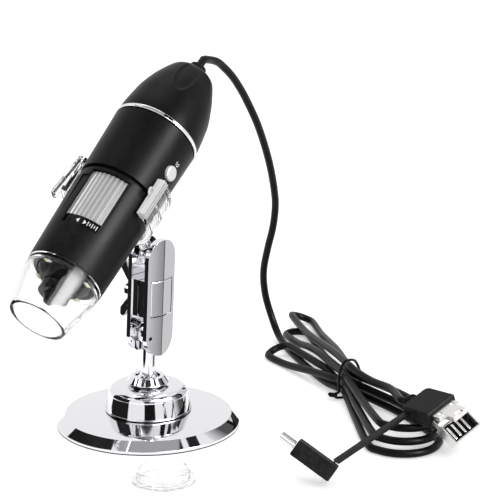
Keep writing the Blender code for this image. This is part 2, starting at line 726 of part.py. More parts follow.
def make_arm(arm):
    """Clamp arm with its cover plate, bolt, washer and wing nut."""
    right = arm_shell("arm_shell_right", 1, arm)
    left = arm_shell("arm_shell_left", -1, arm)
    middle = ARM_REACH / 2
    panel = box("panel_cutter", (ARM_RIDGE_HALF, PANEL_WIDTH, PANEL_HEIGHT),
                (PANEL_FLOOR + ARM_RIDGE_HALF / 2, 0.0, middle))
    combine(right, place(panel, parent=arm))
    seat = cylinder("head_cutter", BOLT_HEAD_RADIUS + GAP, BOLT_SEAT - GAP, ARM_RIDGE_HALF + OVERRUN, 20)
    combine(right, place(seat, (0.0, 0.0, middle), (0.0, math.pi / 2, 0.0), arm))
    mark = cylinder("mark_cutter", PIVOT_MARK_RADIUS, ARM_EDGE_HALF - PIVOT_MARK_DEPTH, ARM_RIDGE_HALF + OVERRUN, 10)
    combine(right, place(mark, (0.0, -PIVOT_MARK_OFFSET, 0.0), (0.0, math.pi / 2, 0.0), arm))
    plate_low = PANEL_FLOOR + GAP
    cover = box("arm_cover_plate", (PANEL_PLATE, PANEL_WIDTH - 2 * GAP, PANEL_HEIGHT - 2 * GAP),
                (plate_low + PANEL_PLATE / 2, 0.0, middle), CHROME)
    place(cover, parent=arm)
    spot = cylinder("washer_cutter", WASHER_RADIUS + GAP, -ARM_RIDGE_HALF - OVERRUN, -WASHER_SEAT, 20)
    combine(left, place(spot, (0.0, 0.0, middle), (0.0, math.pi / 2, 0.0), arm))

    bolt = turned("clamp_bolt", [
        (0.0, BOLT_SEAT + BOLT_HEAD - GAP), (BOLT_HEAD_RADIUS, BOLT_SEAT + BOLT_HEAD - GAP),
        (BOLT_HEAD_RADIUS, BOLT_SEAT), (BOLT_RADIUS, BOLT_SEAT), (BOLT_RADIUS, -BOLT_END), (0.0, -BOLT_END)],
        SMALL_STEPS, STEEL)
    place(bolt, (0.0, 0.0, middle), (0.0, math.pi / 2, 0.0), arm)
    washer_top = -WASHER_SEAT - GAP
    washer = turned("lock_washer", [
        (WASHER_RADIUS, washer_top), (WASHER_RADIUS, washer_top - WASHER_THICKNESS),
        (BOLT_RADIUS + GAP, washer_top - WASHER_THICKNESS), (BOLT_RADIUS + GAP, washer_top)], 20, STEEL)
    place(washer, (0.0, 0.0, middle), (0.0, math.pi / 2, 0.0), arm)

    hub_top = washer_top - WASHER_THICKNESS - GAP
    hub = cylinder("wing_nut", HUB_RADIUS, hub_top - HUB_LENGTH, hub_top, 20, CHROME)
    place(hub, (0.0, 0.0, middle), (0.0, math.pi / 2, 0.0), arm)
    # Wing outline as shares: out along the span, and away from the arm by the flare
    wing_shares = [(0.0, 0.06), (0.22, 0.155), (0.575, 0.39), (0.90, 0.62), (0.98, 0.71), (1.0, 0.83),
                   (0.97, 0.95), (0.90, 1.0), (0.68, 0.99), (0.41, 0.71), (0.22, 0.5), (0.0, 0.47)]
    half = [(WING_SPAN * a, hub_top - WING_FLARE * b) for a, b in wing_shares]
    outline = half + [(-x, y) for x, y in reversed(half[1:-1])]
    wings = plate("wing_shape", outline, -WING_THICKNESS / 2, WING_THICKNESS / 2)
    # The outline's y runs along the bolt and its x along the span
    wings.data.transform(Matrix.Rotation(math.pi / 2, 4, "X"))
    place(wings, (0.0, 0.0, middle), (0.0, math.pi / 2, 0.0), arm)
    combine(hub, wings, "UNION")
    bore = cylinder("nut_bore", BOLT_RADIUS + GAP, -BOLT_END - 2 * WING_FLARE, hub_top + OVERRUN, SMALL_STEPS)
    place(bore, (0.0, 0.0, middle), (0.0, math.pi / 2, 0.0), arm)
    combine(hub, bore)


def make_clip(barrel, top_ball):
    """Clear clip: a ribbed band round the barrel, end bar, tab, stem and ball."""
    low = CLIP_STATION - CLIP_LENGTH / 2
    high = CLIP_STATION + CLIP_LENGTH / 2
    valley = CLIP_OUTER - CLIP_RIB_DEPTH
    middle_low = CLIP_STATION - CLIP_RIB / 2
    middle_high = CLIP_STATION + CLIP_RIB / 2
    clip_axis = empty("clip_axis", Matrix.Translation(top_ball) @ barrel.matrix_local.to_3x3().to_4x4())
    shift = clip_axis.matrix_local.inverted() @ barrel.matrix_local
    frame = empty("clip_frame", shift, clip_axis)
    band = turned("barrel_clip", [
        (CLIP_OUTER, high), (CLIP_OUTER, high - CLIP_RIB), (valley, high - CLIP_RIB), (valley, middle_high),
        (CLIP_OUTER, middle_high), (CLIP_OUTER, middle_low), (valley, middle_low), (valley, low + CLIP_RIB),
        (CLIP_OUTER, low + CLIP_RIB), (CLIP_OUTER, low), (CLIP_INNER, low), (CLIP_INNER, high)], 44, CLEAR)
    place(band, parent=frame)
    opening = plate("clip_opening", [(0.0, 0.0)] + arc(
        2 * CLIP_OUTER, CLIP_START + CLIP_SWEEP - 2 * math.pi, CLIP_START, 10), low - OVERRUN, high + OVERRUN)
    combine(band, place(opening, parent=frame))
    bar = box("clip_bar", (CLIP_BAR_HEIGHT, CLIP_BAR, CLIP_LENGTH),
              (CLIP_INNER + CLIP_BAR_HEIGHT / 2 + GAP, -CLIP_BAR / 2, CLIP_STATION))
    combine(band, place(bar, turn=(0.0, 0.0, CLIP_START + CLIP_BAR / CLIP_OUTER), parent=frame), "UNION")
    tab = box("clip_tab", (CLIP_TAB_THICKNESS, CLIP_TAB_WIDTH, CLIP_TAB_LENGTH),
              (0.0, 0.0, -CLIP_TAB_LENGTH / 2))
    tab.data.transform(Matrix.Rotation(-CLIP_TAB_FLARE, 4, "Y"))
    tab.data.transform(Matrix.Translation((CLIP_INNER + CLIP_TAB_THICKNESS, CLIP_TAB_WIDTH / 2, high)))
    combine(band, place(tab, turn=(0.0, 0.0, CLIP_START + CLIP_SWEEP - CLIP_TAB_WIDTH / CLIP_OUTER),
                        parent=frame), "UNION")
    root = (CLIP_INNER + CLIP_OUTER) / 2
    stem_end = CLIP_OFFSET - math.sqrt(UPPER_BALL_RADIUS ** 2 - STEM_RADIUS ** 2)
    ball_arc = [(UPPER_BALL_RADIUS * math.sin(a), CLIP_OFFSET - UPPER_BALL_RADIUS * math.cos(a))
                for a in (math.asin(STEM_RADIUS / UPPER_BALL_RADIUS)
                          + (math.pi - math.asin(STEM_RADIUS / UPPER_BALL_RADIUS)) * i / 8 for i in range(1, 8))]
    stem = turned("clip_stem", [
        (0.0, root), (STEM_ROOT_RADIUS, root), (STEM_ROOT_RADIUS, CLIP_OUTER), (STEM_RADIUS, CLIP_OUTER + STEM_ROOT),
        (STEM_RADIUS, stem_end)] + ball_arc + [(0.0, CLIP_OFFSET + UPPER_BALL_RADIUS)], 20)
    out = radial_place(CLIP_BEARING, CLIP_STATION, frame, "stem_frame")
    combine(band, place(stem, parent=out), "UNION")


def make_nose(barrel):
    """Clear nose cover, LED ring, lens bezel and chassis tube."""
    fall = shell_radius(SHELL_START) - NOSE_MOUTH_RADIUS
    outer = [(NOSE_MOUTH_RADIUS, 0.0)]
    for along, out in zip(NOSE_STATION_SHARES, NOSE_RADIUS_SHARES):
        outer.append((NOSE_MOUTH_RADIUS + fall * out, SHELL_START * along))
    inner = [(r - NOSE_WALL, z) for r, z in outer[1:-1]]
    inner = [(NOSE_MOUTH_RADIUS - NOSE_WALL / 3, 0.0)] + inner
    spigot_end = SHELL_START + NOSE_SPIGOT
    seat = SHELL_START - GAP
    outline = outer[:-1] + [(outer[-1][0], seat), (NOSE_SPIGOT_RADIUS, seat), (NOSE_SPIGOT_RADIUS, spigot_end),
                            (NOSE_SPIGOT_BORE, spigot_end), (NOSE_SPIGOT_BORE, seat - NOSE_WALL)]
    outline += list(reversed(inner))
    place(turned("nose_cover", outline, LARGE_STEPS, CLEAR), parent=barrel)

    top = LED_BOARD_STATION + LED_BOARD_THICKNESS
    place(turned("led_board", [
        (LED_BOARD_RADIUS, top), (LED_BOARD_RADIUS, LED_BOARD_STATION), (LED_BOARD_BORE, LED_BOARD_STATION),
        (LED_BOARD_BORE, top)], MEDIUM_STEPS, BOARD), parent=barrel)
    led_low = LED_BOARD_STATION - GAP - LED_HEIGHT
    for i in range(LED_COUNT):
        bearing = 2 * math.pi * (i + 0.5) / LED_COUNT
        led = box(f"led_{i + 1}", (LED_DEPTH, LED_WIDTH, LED_HEIGHT), finish=LAMP)
        place(led, (LED_CIRCLE * math.cos(bearing), LED_CIRCLE * math.sin(bearing), led_low + LED_HEIGHT / 2),
              (0.0, 0.0, bearing), barrel)
    tail = CHASSIS_BORE - GAP
    place(turned("lens_bezel", [
        (BEZEL_BORE, BEZEL_BACK + BEZEL_TAIL), (tail, BEZEL_BACK + BEZEL_TAIL), (tail, BEZEL_BACK + GAP),
        (BEZEL_RADIUS, BEZEL_BACK), (BEZEL_FRONT_RADIUS, BEZEL_FRONT), (BEZEL_BORE, BEZEL_FRONT)],
        MEDIUM_STEPS, BLACK), parent=barrel)
    chassis = turned("chassis_tube", [
        (CHASSIS_RADIUS, CHASSIS_END), (CHASSIS_RADIUS, CHASSIS_START), (CHASSIS_BORE, CHASSIS_START),
        (CHASSIS_BORE, CHASSIS_END)], MEDIUM_STEPS, BLACK)
    place(chassis, parent=barrel)
    reach = FOCUS_TRAVEL + PIN_RADIUS + SLOT_MARGIN
    slot = box("chassis_slot", (CHASSIS_RADIUS, 2 * (PIN_RADIUS + GAP), 2 * reach),
               (CHASSIS_BORE, 0.0, PIN_STATION))
    combine(chassis, place(slot, turn=(0.0, 0.0, PIN_BEARING), parent=barrel))


def make_lens(barrel):
    """Sliding lens tube with its front glass and the drive pin."""
    glass_end = GLASS_STATION + GLASS_THICKNESS
    tube_body = turned("lens_tube", [
        (LENS_PUPIL, LENS_TIP), (LENS_TIP_RADIUS, LENS_TIP), (LENS_CONE_RADIUS, LENS_FACE), (LENS_RADIUS, LENS_FACE),
        (LENS_RADIUS, LENS_END - CARRIAGE_LENGTH), (CARRIAGE_RADIUS, LENS_END - CARRIAGE_LENGTH),
        (CARRIAGE_RADIUS, LENS_END), (LENS_BORE, LENS_END), (LENS_BORE, GLASS_STATION - GAP),
        (LENS_PUPIL, GLASS_STATION - GAP)], MEDIUM_STEPS, BLACK)
    place(tube_body, parent=barrel)
    place(cylinder("front_lens", LENS_BORE - GAP, GLASS_STATION, glass_end, 20, GLASS), parent=barrel)
    out = radial_place(PIN_BEARING, PIN_STATION, barrel, "pin_frame")
    hole = cylinder("pin_hole", PIN_RADIUS + GAP, PIN_ROOT - GAP, CARRIAGE_RADIUS + OVERRUN, 12)
    combine(tube_body, place(hole, parent=out))
    tip = WHEEL_BORE + CAM_DEPTH - GAP
    place(cylinder("drive_pin", PIN_RADIUS, PIN_ROOT, tip, 12, STEEL), parent=out)


def make_wheel(barrel):
    """Ribbed focus wheel with a cam groove in its bore."""
    pitch = 2 * math.pi / WHEEL_RIBS
    root = WHEEL_CREST - WHEEL_RIB_DEPTH
    outline = []
    for i in range(WHEEL_RIBS):
        for k, share in enumerate(RIB_SIDE_SHARES):
            radius = WHEEL_CREST if k < 2 else root
            angle = pitch * (i + share)
            outline.append((radius * math.cos(angle), radius * math.sin(angle)))
    wheel = plate("focus_wheel", outline, WHEEL_START + WHEEL_BAND, WHEEL_END, SILVER)
    place(wheel, parent=barrel)
    band = cylinder("wheel_band", WHEEL_BAND_RADIUS, WHEEL_START, WHEEL_START + WHEEL_BAND + GAP, LARGE_STEPS)
    combine(wheel, place(band, parent=barrel), "UNION")
    bore = cylinder("wheel_bore", WHEEL_BORE, WHEEL_START - OVERRUN, WHEEL_END + OVERRUN, 36)
    combine(wheel, place(bore, parent=barrel))
    reach = FOCUS_TURN + (PIN_RADIUS + GAP) / WHEEL_BORE
    groove_radius = PIN_RADIUS + GAP
    centre = WHEEL_BORE + CAM_DEPTH - groove_radius * 0.5
    points = []
    steps = 24
    for i in range(steps + 1):
        turn = -reach + 2 * reach * i / steps
        angle = PIN_BEARING - turn
        points.append((centre * math.cos(angle), centre * math.sin(angle),
                       PIN_STATION + FOCUS_TRAVEL * turn / FOCUS_TURN))
    groove = tube("cam_groove_path", points, groove_radius, 1)
    bpy.context.view_layer.update()
    groove = meshed(groove, "cam_groove")
    combine(wheel, place(groove, parent=barrel))


def make_shells(barrel):
    """Black front shell with its window, rear tube, chrome ring, dome and cord gland."""
    step_start = SHELL_END - STEP_LENGTH
    pocket = WHEEL_CREST + GAP
    seat = NOSE_SPIGOT_RADIUS + GAP
    seat_end = SHELL_START + NOSE_SPIGOT + GAP
    bulkhead = CHASSIS_RADIUS + GAP
    shell = turned("front_shell", [
        (shell_radius(SHELL_END) - STEP_DEPTH, SHELL_END), (shell_radius(step_start) - STEP_DEPTH, step_start),
        (shell_radius(step_start), step_start), (shell_radius(SHELL_START), SHELL_START), (seat, SHELL_START),
        (seat, seat_end), (bulkhead, seat_end), (bulkhead, WINDOW_START - GAP), (pocket, WINDOW_START - GAP),
        (pocket, SHELL_END)], LARGE_STEPS, BLACK)
    place(shell, parent=barrel)
    window = plate("window_cutter", sector(pocket - OVERRUN / 2, CLIP_OUTER, WINDOW_LEFT, WINDOW_RIGHT, 6),
                   WINDOW_START, WINDOW_END)
    combine(shell, place(window, parent=barrel))
    rail_floor = pocket + SHELL_WALL - RAIL_DEPTH
    rail = plate("rail_cutter", sector(rail_floor, CLIP_OUTER, RAIL_LEFT, WINDOW_LEFT, 3),
                 WINDOW_START, RAIL_END)
    combine(shell, place(rail, parent=barrel))

    neck_low = SHELL_END - NECK_SPIGOT + GAP
    rear_bore = shell_radius(REAR_START) - REAR_WALL
    rear = turned("rear_tube", [
        (shell_radius(REAR_END), REAR_END), (shell_radius(REAR_START), REAR_START), (NECK_SPIGOT_RADIUS, REAR_START),
        (NECK_SPIGOT_RADIUS, neck_low), (NECK_SPIGOT_BORE, neck_low), (NECK_SPIGOT_BORE, REAR_START + REAR_WALL),
        (rear_bore, REAR_START + REAR_WALL), (rear_bore, REAR_END)], LARGE_STEPS, BLACK)
    place(rear, parent=barrel)
    out = radial_place(BUTTON_BEARING, BUTTON_STATION, barrel, "button_frame")
    hole = cylinder("button_hole", BUTTON_RADIUS + GAP, rear_bore - OVERRUN, CLIP_OUTER, 20)
    combine(rear, place(hole, parent=out))

    ring_low = REAR_END + GAP
    ring_high = ring_low + RING_LENGTH
    ring_radius = shell_radius(REAR_END) + RING_PROUD
    place(turned("trim_ring", [
        (ring_radius, ring_high), (ring_radius, ring_low), (rear_bore, ring_low), (rear_bore, ring_high)],
        LARGE_STEPS, CHROME), parent=barrel)

    dome_low = ring_high + GAP
    dome_radius = shell_radius(REAR_END)
    outer = [(dome_radius * out, dome_low + DOME_LENGTH * along)
             for along, out in zip(DOME_STATION_SHARES, DOME_RADIUS_SHARES)]
    dome_end = dome_low + DOME_LENGTH
    gland_bore = GLAND_RADIUS + GAP
    spigot = rear_bore - GAP
    inner_top = dome_end - DOME_WALL
    inner = [(r - DOME_WALL, z) for r, z in outer[1:-1] if z < inner_top - DOME_WALL]
    end_inner = GLAND_BASE_RADIUS + GAP
    outline = [(gland_bore, dome_end)] + list(reversed(outer)) + [
        (spigot, dome_low), (spigot, dome_low - DOME_SPIGOT), (spigot - DOME_WALL, dome_low - DOME_SPIGOT),
        (spigot - DOME_WALL, dome_low)] + inner + [(end_inner, inner_top), (gland_bore, inner_top)]
    place(turned("rear_dome", outline, LARGE_STEPS, BLACK), parent=barrel)

    tip = dome_end + GLAND_LENGTH
    flange_high = inner_top - GAP
    base_low = flange_high - GLAND_BASE_LENGTH
    rings_low = dome_end + GAP
    pitch = (tip - GLAND_LENGTH / 5 - rings_low) / GLAND_RINGS
    outline = [(0.0, tip), (GLAND_TIP_RADIUS, tip)]
    for i in range(GLAND_RINGS):
        high = tip - GLAND_LENGTH / 5 - pitch * i
        radius = GLAND_SHOULDER_RADIUS + (GLAND_RADIUS - GLAND_SHOULDER_RADIUS) * (i + 1) / GLAND_RINGS
        outline += [(radius - GLAND_GROOVE, high), (radius, high - pitch / 4), (radius, high - 3 * pitch / 4),
                    (radius - GLAND_GROOVE, high - 0.85 * pitch)]
    outline += [(GLAND_RADIUS - GLAND_GROOVE, flange_high), (GLAND_BASE_RADIUS, flange_high),
                (GLAND_BASE_RADIUS, base_low), (0.0, base_low)]
    place(turned("cord_gland", outline, 20, RUBBER), parent=barrel)
    return rear_bore, base_low, tip


def make_electronics(barrel, rear_bore, gland_low):
    """Snap button, its spring and switch, the boards, the sensor and the lead wires."""
    out = barrel.children and [o for o in barrel.children if o.name == "button_frame"][0]
    outside = shell_radius(BUTTON_STATION)
    flange_top = rear_bore - 2 * GAP
    board_top = BOARD_OFFSET + BOARD_THICKNESS
    switch_low = board_top + GAP
    plunger_top = switch_low + SWITCH_HEIGHT + PLUNGER_HEIGHT
    stem_end = plunger_top + BUTTON_TRAVEL + GAP
    place(turned("snap_button", [
        (0.0, outside + BUTTON_PROUD), (BUTTON_RADIUS, outside + BUTTON_PROUD), (BUTTON_RADIUS, flange_top),
        (BUTTON_FLANGE_RADIUS, flange_top), (BUTTON_FLANGE_RADIUS, flange_top - BUTTON_FLANGE),
        (BUTTON_STEM_RADIUS, flange_top - BUTTON_FLANGE), (BUTTON_STEM_RADIUS, stem_end), (0.0, stem_end)],
        20, SILVER), parent=out)
    spring_low = switch_low + SWITCH_HEIGHT + GAP
    spring_high = flange_top - BUTTON_FLANGE - BUTTON_TRAVEL - GAP
    place(turned("button_spring", [
        (SPRING_OUTER, spring_high), (SPRING_OUTER, spring_low), (SPRING_INNER, spring_low),
        (SPRING_INNER, spring_high)], SMALL_STEPS, STEEL), parent=out)
    switch = box("tact_switch", (SWITCH_SIZE, SWITCH_SIZE, SWITCH_HEIGHT),
                 (0.0, 0.0, switch_low + SWITCH_HEIGHT / 2), STEEL)
    place(switch, parent=out)
    plunger = cylinder("plunger", PLUNGER_RADIUS, switch_low + SWITCH_HEIGHT / 2, plunger_top, 12)
    combine(switch, place(plunger, parent=out), "UNION")

    board_low = CHASSIS_END + GAP
    board_middle = board_low + BOARD_LENGTH / 2
    board = box("main_board", (BOARD_THICKNESS, BOARD_WIDTH, BOARD_LENGTH),
                (BOARD_OFFSET + BOARD_THICKNESS / 2, 0.0, board_middle), BOARD)
    place(board, turn=(0.0, 0.0, BUTTON_BEARING), parent=barrel)
    chip = box("controller_chip", (CHIP_HEIGHT, CHIP_SIZE, CHIP_SIZE),
               (BOARD_OFFSET - GAP - CHIP_HEIGHT / 2, 0.0, board_middle), BLACK)
    place(chip, turn=(0.0, 0.0, BUTTON_BEARING), parent=barrel)
    sensor_board_high = SENSOR_BOARD_STATION + BOARD_THICKNESS
    place(cylinder("sensor_board", SENSOR_BOARD_RADIUS, SENSOR_BOARD_STATION, sensor_board_high, 20, BOARD),
          parent=barrel)
    sensor = box("image_sensor", (SENSOR_SIZE, SENSOR_SIZE, SENSOR_HEIGHT),
                 (0.0, 0.0, SENSOR_BOARD_STATION - GAP - SENSOR_HEIGHT / 2), GLASS)
    place(sensor, parent=barrel)
    wire_low = board_middle + CHIP_SIZE / 2 + WIRE_RADIUS
    side = BOARD_OFFSET - GAP - WIRE_RADIUS
    across = (math.cos(BUTTON_BEARING) * side, math.sin(BUTTON_BEARING) * side)
    run = gland_low - GAP - wire_low
    points = []
    for i in range(7):
        share = i / 6
        pull = 1.0 - smooth_step((share - 0.5) * 2.2)
        points.append((across[0] * pull, across[1] * pull, wire_low + run * share))
    place(tube("lead_wires", points, WIRE_RADIUS, 1, RUBBER), parent=barrel)


def make_cap():
    """Clear tip cap lying flange down on the table."""
    top = CAP_FLANGE + CAP_RING_HEIGHT
    inner = CAP_RING_RADIUS - CAP_RING_WALL
    cap = turned("tip_cap", [
        (0.0, CAP_FLANGE), (inner, CAP_FLANGE), (inner, top), (CAP_RING_RADIUS, top), (CAP_RING_RADIUS, CAP_FLANGE),
        (CAP_FLANGE_RADIUS, CAP_FLANGE), (CAP_FLANGE_RADIUS, 0.0), (0.0, 0.0)], 36, CLEAR)
    place(cap, (CAP_PLACE[0], CAP_PLACE[1], 0.0))


def curve_through(points, step):
    """Read evenly spaced points off a smooth curve through route points."""
    knots = [Vector(p) for p in points]
    fine = []
    for i in range(len(knots) - 1):
        a = knots[max(i - 1, 0)]
        b, c = knots[i], knots[i + 1]
        d = knots[min(i + 2, len(knots) - 1)]
        for k in range(12):
            t = k / 12
            fine.append(0.5 * ((2 * b) + (c - a) * t + (2 * a - 5 * b + 4 * c - d) * t * t
                               + (3 * b - a - 3 * c + d) * t ** 3))
    fine.append(knots[-1])
    total = sum((q - p).length for p, q in zip(fine, fine[1:]))
    count = max(int(round(total / step)), 2)
    out, gone, i = [fine[0]], 0.0, 0
    for n in range(1, count):
        want = total * n / count
        while gone + (fine[i + 1] - fine[i]).length < want:
            gone += (fine[i + 1] - fine[i]).length
            i += 1
        share = (want - gone) / (fine[i + 1] - fine[i]).length
        out.append(fine[i].lerp(fine[i + 1], share))
    out.append(fine[-1])
    return out


def hank_point(along, across, height):
    """A point in the hank's frame: along to the front, across to the right, lifted over the tie wire."""
    lift = TIE_LIFT * (1.0 - smooth_step(abs(along) / LIFT_REACH))
    forward = Vector((math.cos(HANK_BEARING), math.sin(HANK_BEARING), 0.0))
    right = Vector((-math.sin(HANK_BEARING), math.cos(HANK_BEARING), 0.0))
    return (Vector((TIE_PLACE[0], TIE_PLACE[1], height + lift)) + forward * along + right * across)


def hank_fold(direction, fold, side, columns, layers, climb, counts, bulge):
    """Half a loop: out from the tie along one run, round the fold, and back along the other run."""
    length, lateral, radius = fold
    run = length - radius
    run_points, fold_points = counts

    def on_run(along, column, hand, near, far, start, end):
        share = along / run
        if bulge:
            share = smooth_step(share if hand < 0 else share / RETURN_BULGE_SHARE)
        across = column + (lateral + hand * radius - column) * share
        height = near + (far - near) * smooth_step((along - start) / (end - start))
        return hank_point(direction * along, across, height)

    near_out, far_out, far_in, near_in = layers
    points = [on_run(run * i / run_points, columns[0], side, near_out, far_out, climb[0], climb[1])
              for i in range(run_points)]
    for i in range(fold_points):
        angle = math.pi * i / fold_points
        height = (far_out + far_in) / 2 + (far_out - far_in) / 2 * math.cos(angle)
        points.append(hank_point(direction * (run + radius * math.sin(angle)),
                                 lateral + side * radius * math.cos(angle), height))
    points += [on_run(run * (1 - i / run_points), columns[1], -side, near_in, far_in, climb[2], climb[3])
               for i in range(run_points)]
    return points


def hank_loops():
    """Points of the loops, wound from the lowest layer up, and of the tail that leaves on top."""
    layers = [FIRST_LAYER + LAYER * i for i in range(len(FRONT_FOLDS) + 1)]
    last = len(FRONT_FOLDS) - 1
    points = []
    for k, (front, back, climb) in enumerate(zip(FRONT_FOLDS, BACK_FOLDS, BACK_CLIMBS)):
        level = layers[k]
        points += hank_fold(1, front, -1, (-COLUMN_HALF, COLUMN_HALF), (level, level, level, level),
                            (0.0, LAYER, 0.0, LAYER), (FRONT_RUN_POINTS, FRONT_FOLD_POINTS), True)
        out_layer = layers[1] if k == 0 else layers[0]
        in_layer = layers[1] if k == last else layers[0]
        points += hank_fold(-1, back, 1, (COLUMN_HALF, 0.0 if k == last else -COLUMN_HALF),
                            (level, out_layer, in_layer, layers[k + 1]), climb,
                            (BACK_RUN_POINTS, BACK_FOLD_POINTS), False)
    points.append(hank_point(0.0, 0.0, layers[-1]))
    return points


def least_gap(points, radius):
    """Least space between runs of one tube that are not neighbours along it."""
    samples = []
    gone = 0.0
    for a, b in zip(points, points[1:]):
        count = max(int((b - a).length / radius), 1)
        for i in range(count):
            samples.append((a.lerp(b, i / count), gone + (b - a).length * i / count))
        gone += (b - a).length
    least = 1.0
    for i, (p, s) in enumerate(samples):
        for q, t in samples[i + 1:]:
            if t - s > 8 * radius:
                least = min(least, (p - q).length - 2 * radius)
    return least, gone


def make_cord(barrel, gland_tip, plug):
    """Free stretch from the gland, hank of three loops, tie wire."""
    start = barrel.matrix_world @ Vector((0.0, 0.0, gland_tip + GAP))
    axis = barrel.matrix_world.to_3x3() @ Vector((0.0, 0.0, 1.0))
    entry = hank_point(-LEAD_IN, -COLUMN_HALF - CORD_RADIUS / 2, FIRST_LAYER)
    approach = [hank_point(a, b, FIRST_LAYER) for a, b in TIE_APPROACH]
    heading = (entry - approach[-1]).normalized()
    straight = 2 * CORD_RADIUS
    route = [start, start + axis * straight] + [Vector(p) for p in FREE_ROUTE] + approach
    free = curve_through(route[1:] + [entry - heading * straight], CORD_STEP)
    free = [start] + free + [entry]
    tube("free_cord", free, CORD_RADIUS, 2, CORD)

    nub = plug.matrix_world @ Vector((-PLUG_LENGTH - NUB_LENGTH - GAP, 0.0, 0.0))
    back = plug.matrix_world.to_3x3() @ Vector((-1.0, 0.0, 0.0))
    loops = hank_loops()
    tail = [hank_point(a, b, c) for a, b, c in PLUG_APPROACH]
    begin = entry + heading * GAP
    hank = [begin, begin + heading * CORD_RADIUS] + loops + tail + [nub + back * straight, nub]
    tube("cord_hank", hank, CORD_RADIUS, 1, CORD)
    gap, length = least_gap(hank, CORD_RADIUS)
    print(f"hank: least gap to itself {gap / MM:.2f} mm, length {length / MM:.0f} mm")

    half = COLUMN_HALF + CORD_RADIUS + TIE_CLEAR
    low = TIE_WIRE_RADIUS + GAP / 3
    side_top = FIRST_LAYER + 2 * LAYER + TIE_LIFT
    top = FIRST_LAYER + 3 * LAYER + TIE_LIFT + CORD_RADIUS + TIE_CLEAR + TIE_WIRE_RADIUS
    # Across and height of the wire's corners, from one twisted tail round to the other
    corners = [(-half - TIE_TAIL, low + TIE_TAIL_RISE), (-half - TIE_CLEAR, low), (half, low),
               (half + TIE_CLEAR, low + TIE_LIFT), (half + TIE_CLEAR, side_top),
               (COLUMN_HALF + TIE_CLEAR, top - LAYER / 4), (0.0, top), (-COLUMN_HALF - TIE_CLEAR, top - LAYER / 4),
               (-half - TIE_CLEAR, side_top), (-half - TIE_CLEAR, low + TIE_TAIL_RISE + TIE_LIFT),
               (-half - TIE_TAIL, low + 2 * TIE_TAIL_RISE)]
    right = Vector((-math.sin(HANK_BEARING), math.cos(HANK_BEARING), 0.0))
    middle = Vector((TIE_PLACE[0], TIE_PLACE[1], 0.0))
    wire = [middle + right * a + Vector((0.0, 0.0, z)) for a, z in corners]
    tube("hank_tie", wire, TIE_WIRE_RADIUS, 1, CORD)


def make_plug(plug):
    """Plug overmould, metal tongue, hinged tray with its contacts."""
    body = box("plug_overmold", (PLUG_LENGTH, PLUG_WIDTH, PLUG_THICKNESS), (-PLUG_LENGTH / 2, 0.0, 0.0), MATTE,
               PLUG_ROUND)
    place(body, parent=plug)
    nub = cylinder("plug_nub", NUB_RADIUS, -NUB_LENGTH, OVERRUN, 14, None, NUB_RADIUS)
    combine(body, place(nub, (-PLUG_LENGTH, 0.0, 0.0), (0.0, math.pi / 2, 0.0), plug), "UNION")
    tongue_middle = TONGUE_TOP - TONGUE_THICKNESS / 2
    tongue = box("plug_tongue", (TONGUE_LENGTH - GAP, TONGUE_WIDTH, TONGUE_THICKNESS),
                 (GAP + (TONGUE_LENGTH - GAP) / 2, 0.0, tongue_middle), PLUG_METAL)
    place(tongue, parent=plug)
    tip = box("tongue_tip", (TIP_LENGTH + OVERRUN, TIP_WIDTH, TONGUE_THICKNESS),
              (TONGUE_LENGTH + (TIP_LENGTH - OVERRUN) / 2, 0.0, tongue_middle))
    combine(tongue, place(tip, parent=plug), "UNION")

    hinge = empty("tray_axis", Matrix.Translation((TRAY_HINGE[0], 0.0, TRAY_HINGE[1]))
                  @ Matrix.Rotation(TRAY_OPEN, 4, "Y"), plug)
    length = TRAY_LENGTH - TRAY_START
    height = TRAY_ABOVE + TRAY_BELOW
    middle = (TRAY_ABOVE - TRAY_BELOW) / 2
    tray = box("plug_shell", (length, TRAY_WIDTH, height), (TRAY_START + length / 2, 0.0, middle), PLUG_METAL)
    place(tray, parent=hinge)
    hollow = box("tray_hollow", (length - 2 * TRAY_WALL, TRAY_WIDTH - 2 * TRAY_WALL, height),
                 (TRAY_START + length / 2, 0.0, middle + TRAY_WALL))
    combine(tray, place(hollow, parent=hinge))
    # The rear wall is low, so that the tongue comes in over it when the tray is shut
    gate = box("tray_gate", (2 * OVERRUN, TRAY_WIDTH - 2 * TRAY_WALL, height),
               (TRAY_START, 0.0, EAR_RADIUS / 2 + height / 2 - TRAY_WALL))
    combine(tray, place(gate, parent=hinge))
    for hand in (-1, 1):
        ear = box(f"tray_ear_{hand}", (TRAY_START + TRAY_WALL + EAR_RADIUS, TRAY_WALL, 2 * EAR_RADIUS),
                  ((TRAY_START + TRAY_WALL - EAR_RADIUS) / 2, hand * (TRAY_WIDTH - TRAY_WALL) / 2, 0.0))
        combine(tray, place(ear, parent=hinge), "UNION")
    floor = -TRAY_BELOW + TRAY_WALL + GAP
    insulator = box("plug_contacts", (length - 2 * TRAY_WALL - 2 * GAP, TRAY_WIDTH - 2 * TRAY_WALL - 2 * GAP,
                                      INSULATOR_HEIGHT),
                    (TRAY_START + length / 2, 0.0, floor + INSULATOR_HEIGHT / 2), BLACK)
    place(insulator, parent=hinge)
    for i in range(CONTACT_COUNT):
        across = (i - (CONTACT_COUNT - 1) / 2) * 2.5 * CONTACT_WIDTH
        contact = box(f"contact_{i}", (length - 4 * TRAY_WALL - OVERRUN, CONTACT_WIDTH, CONTACT_HEIGHT),
                      (TRAY_START + length / 2, across, floor + INSULATOR_HEIGHT + CONTACT_HEIGHT / 4))
        combine(insulator, place(contact, parent=hinge), "UNION")


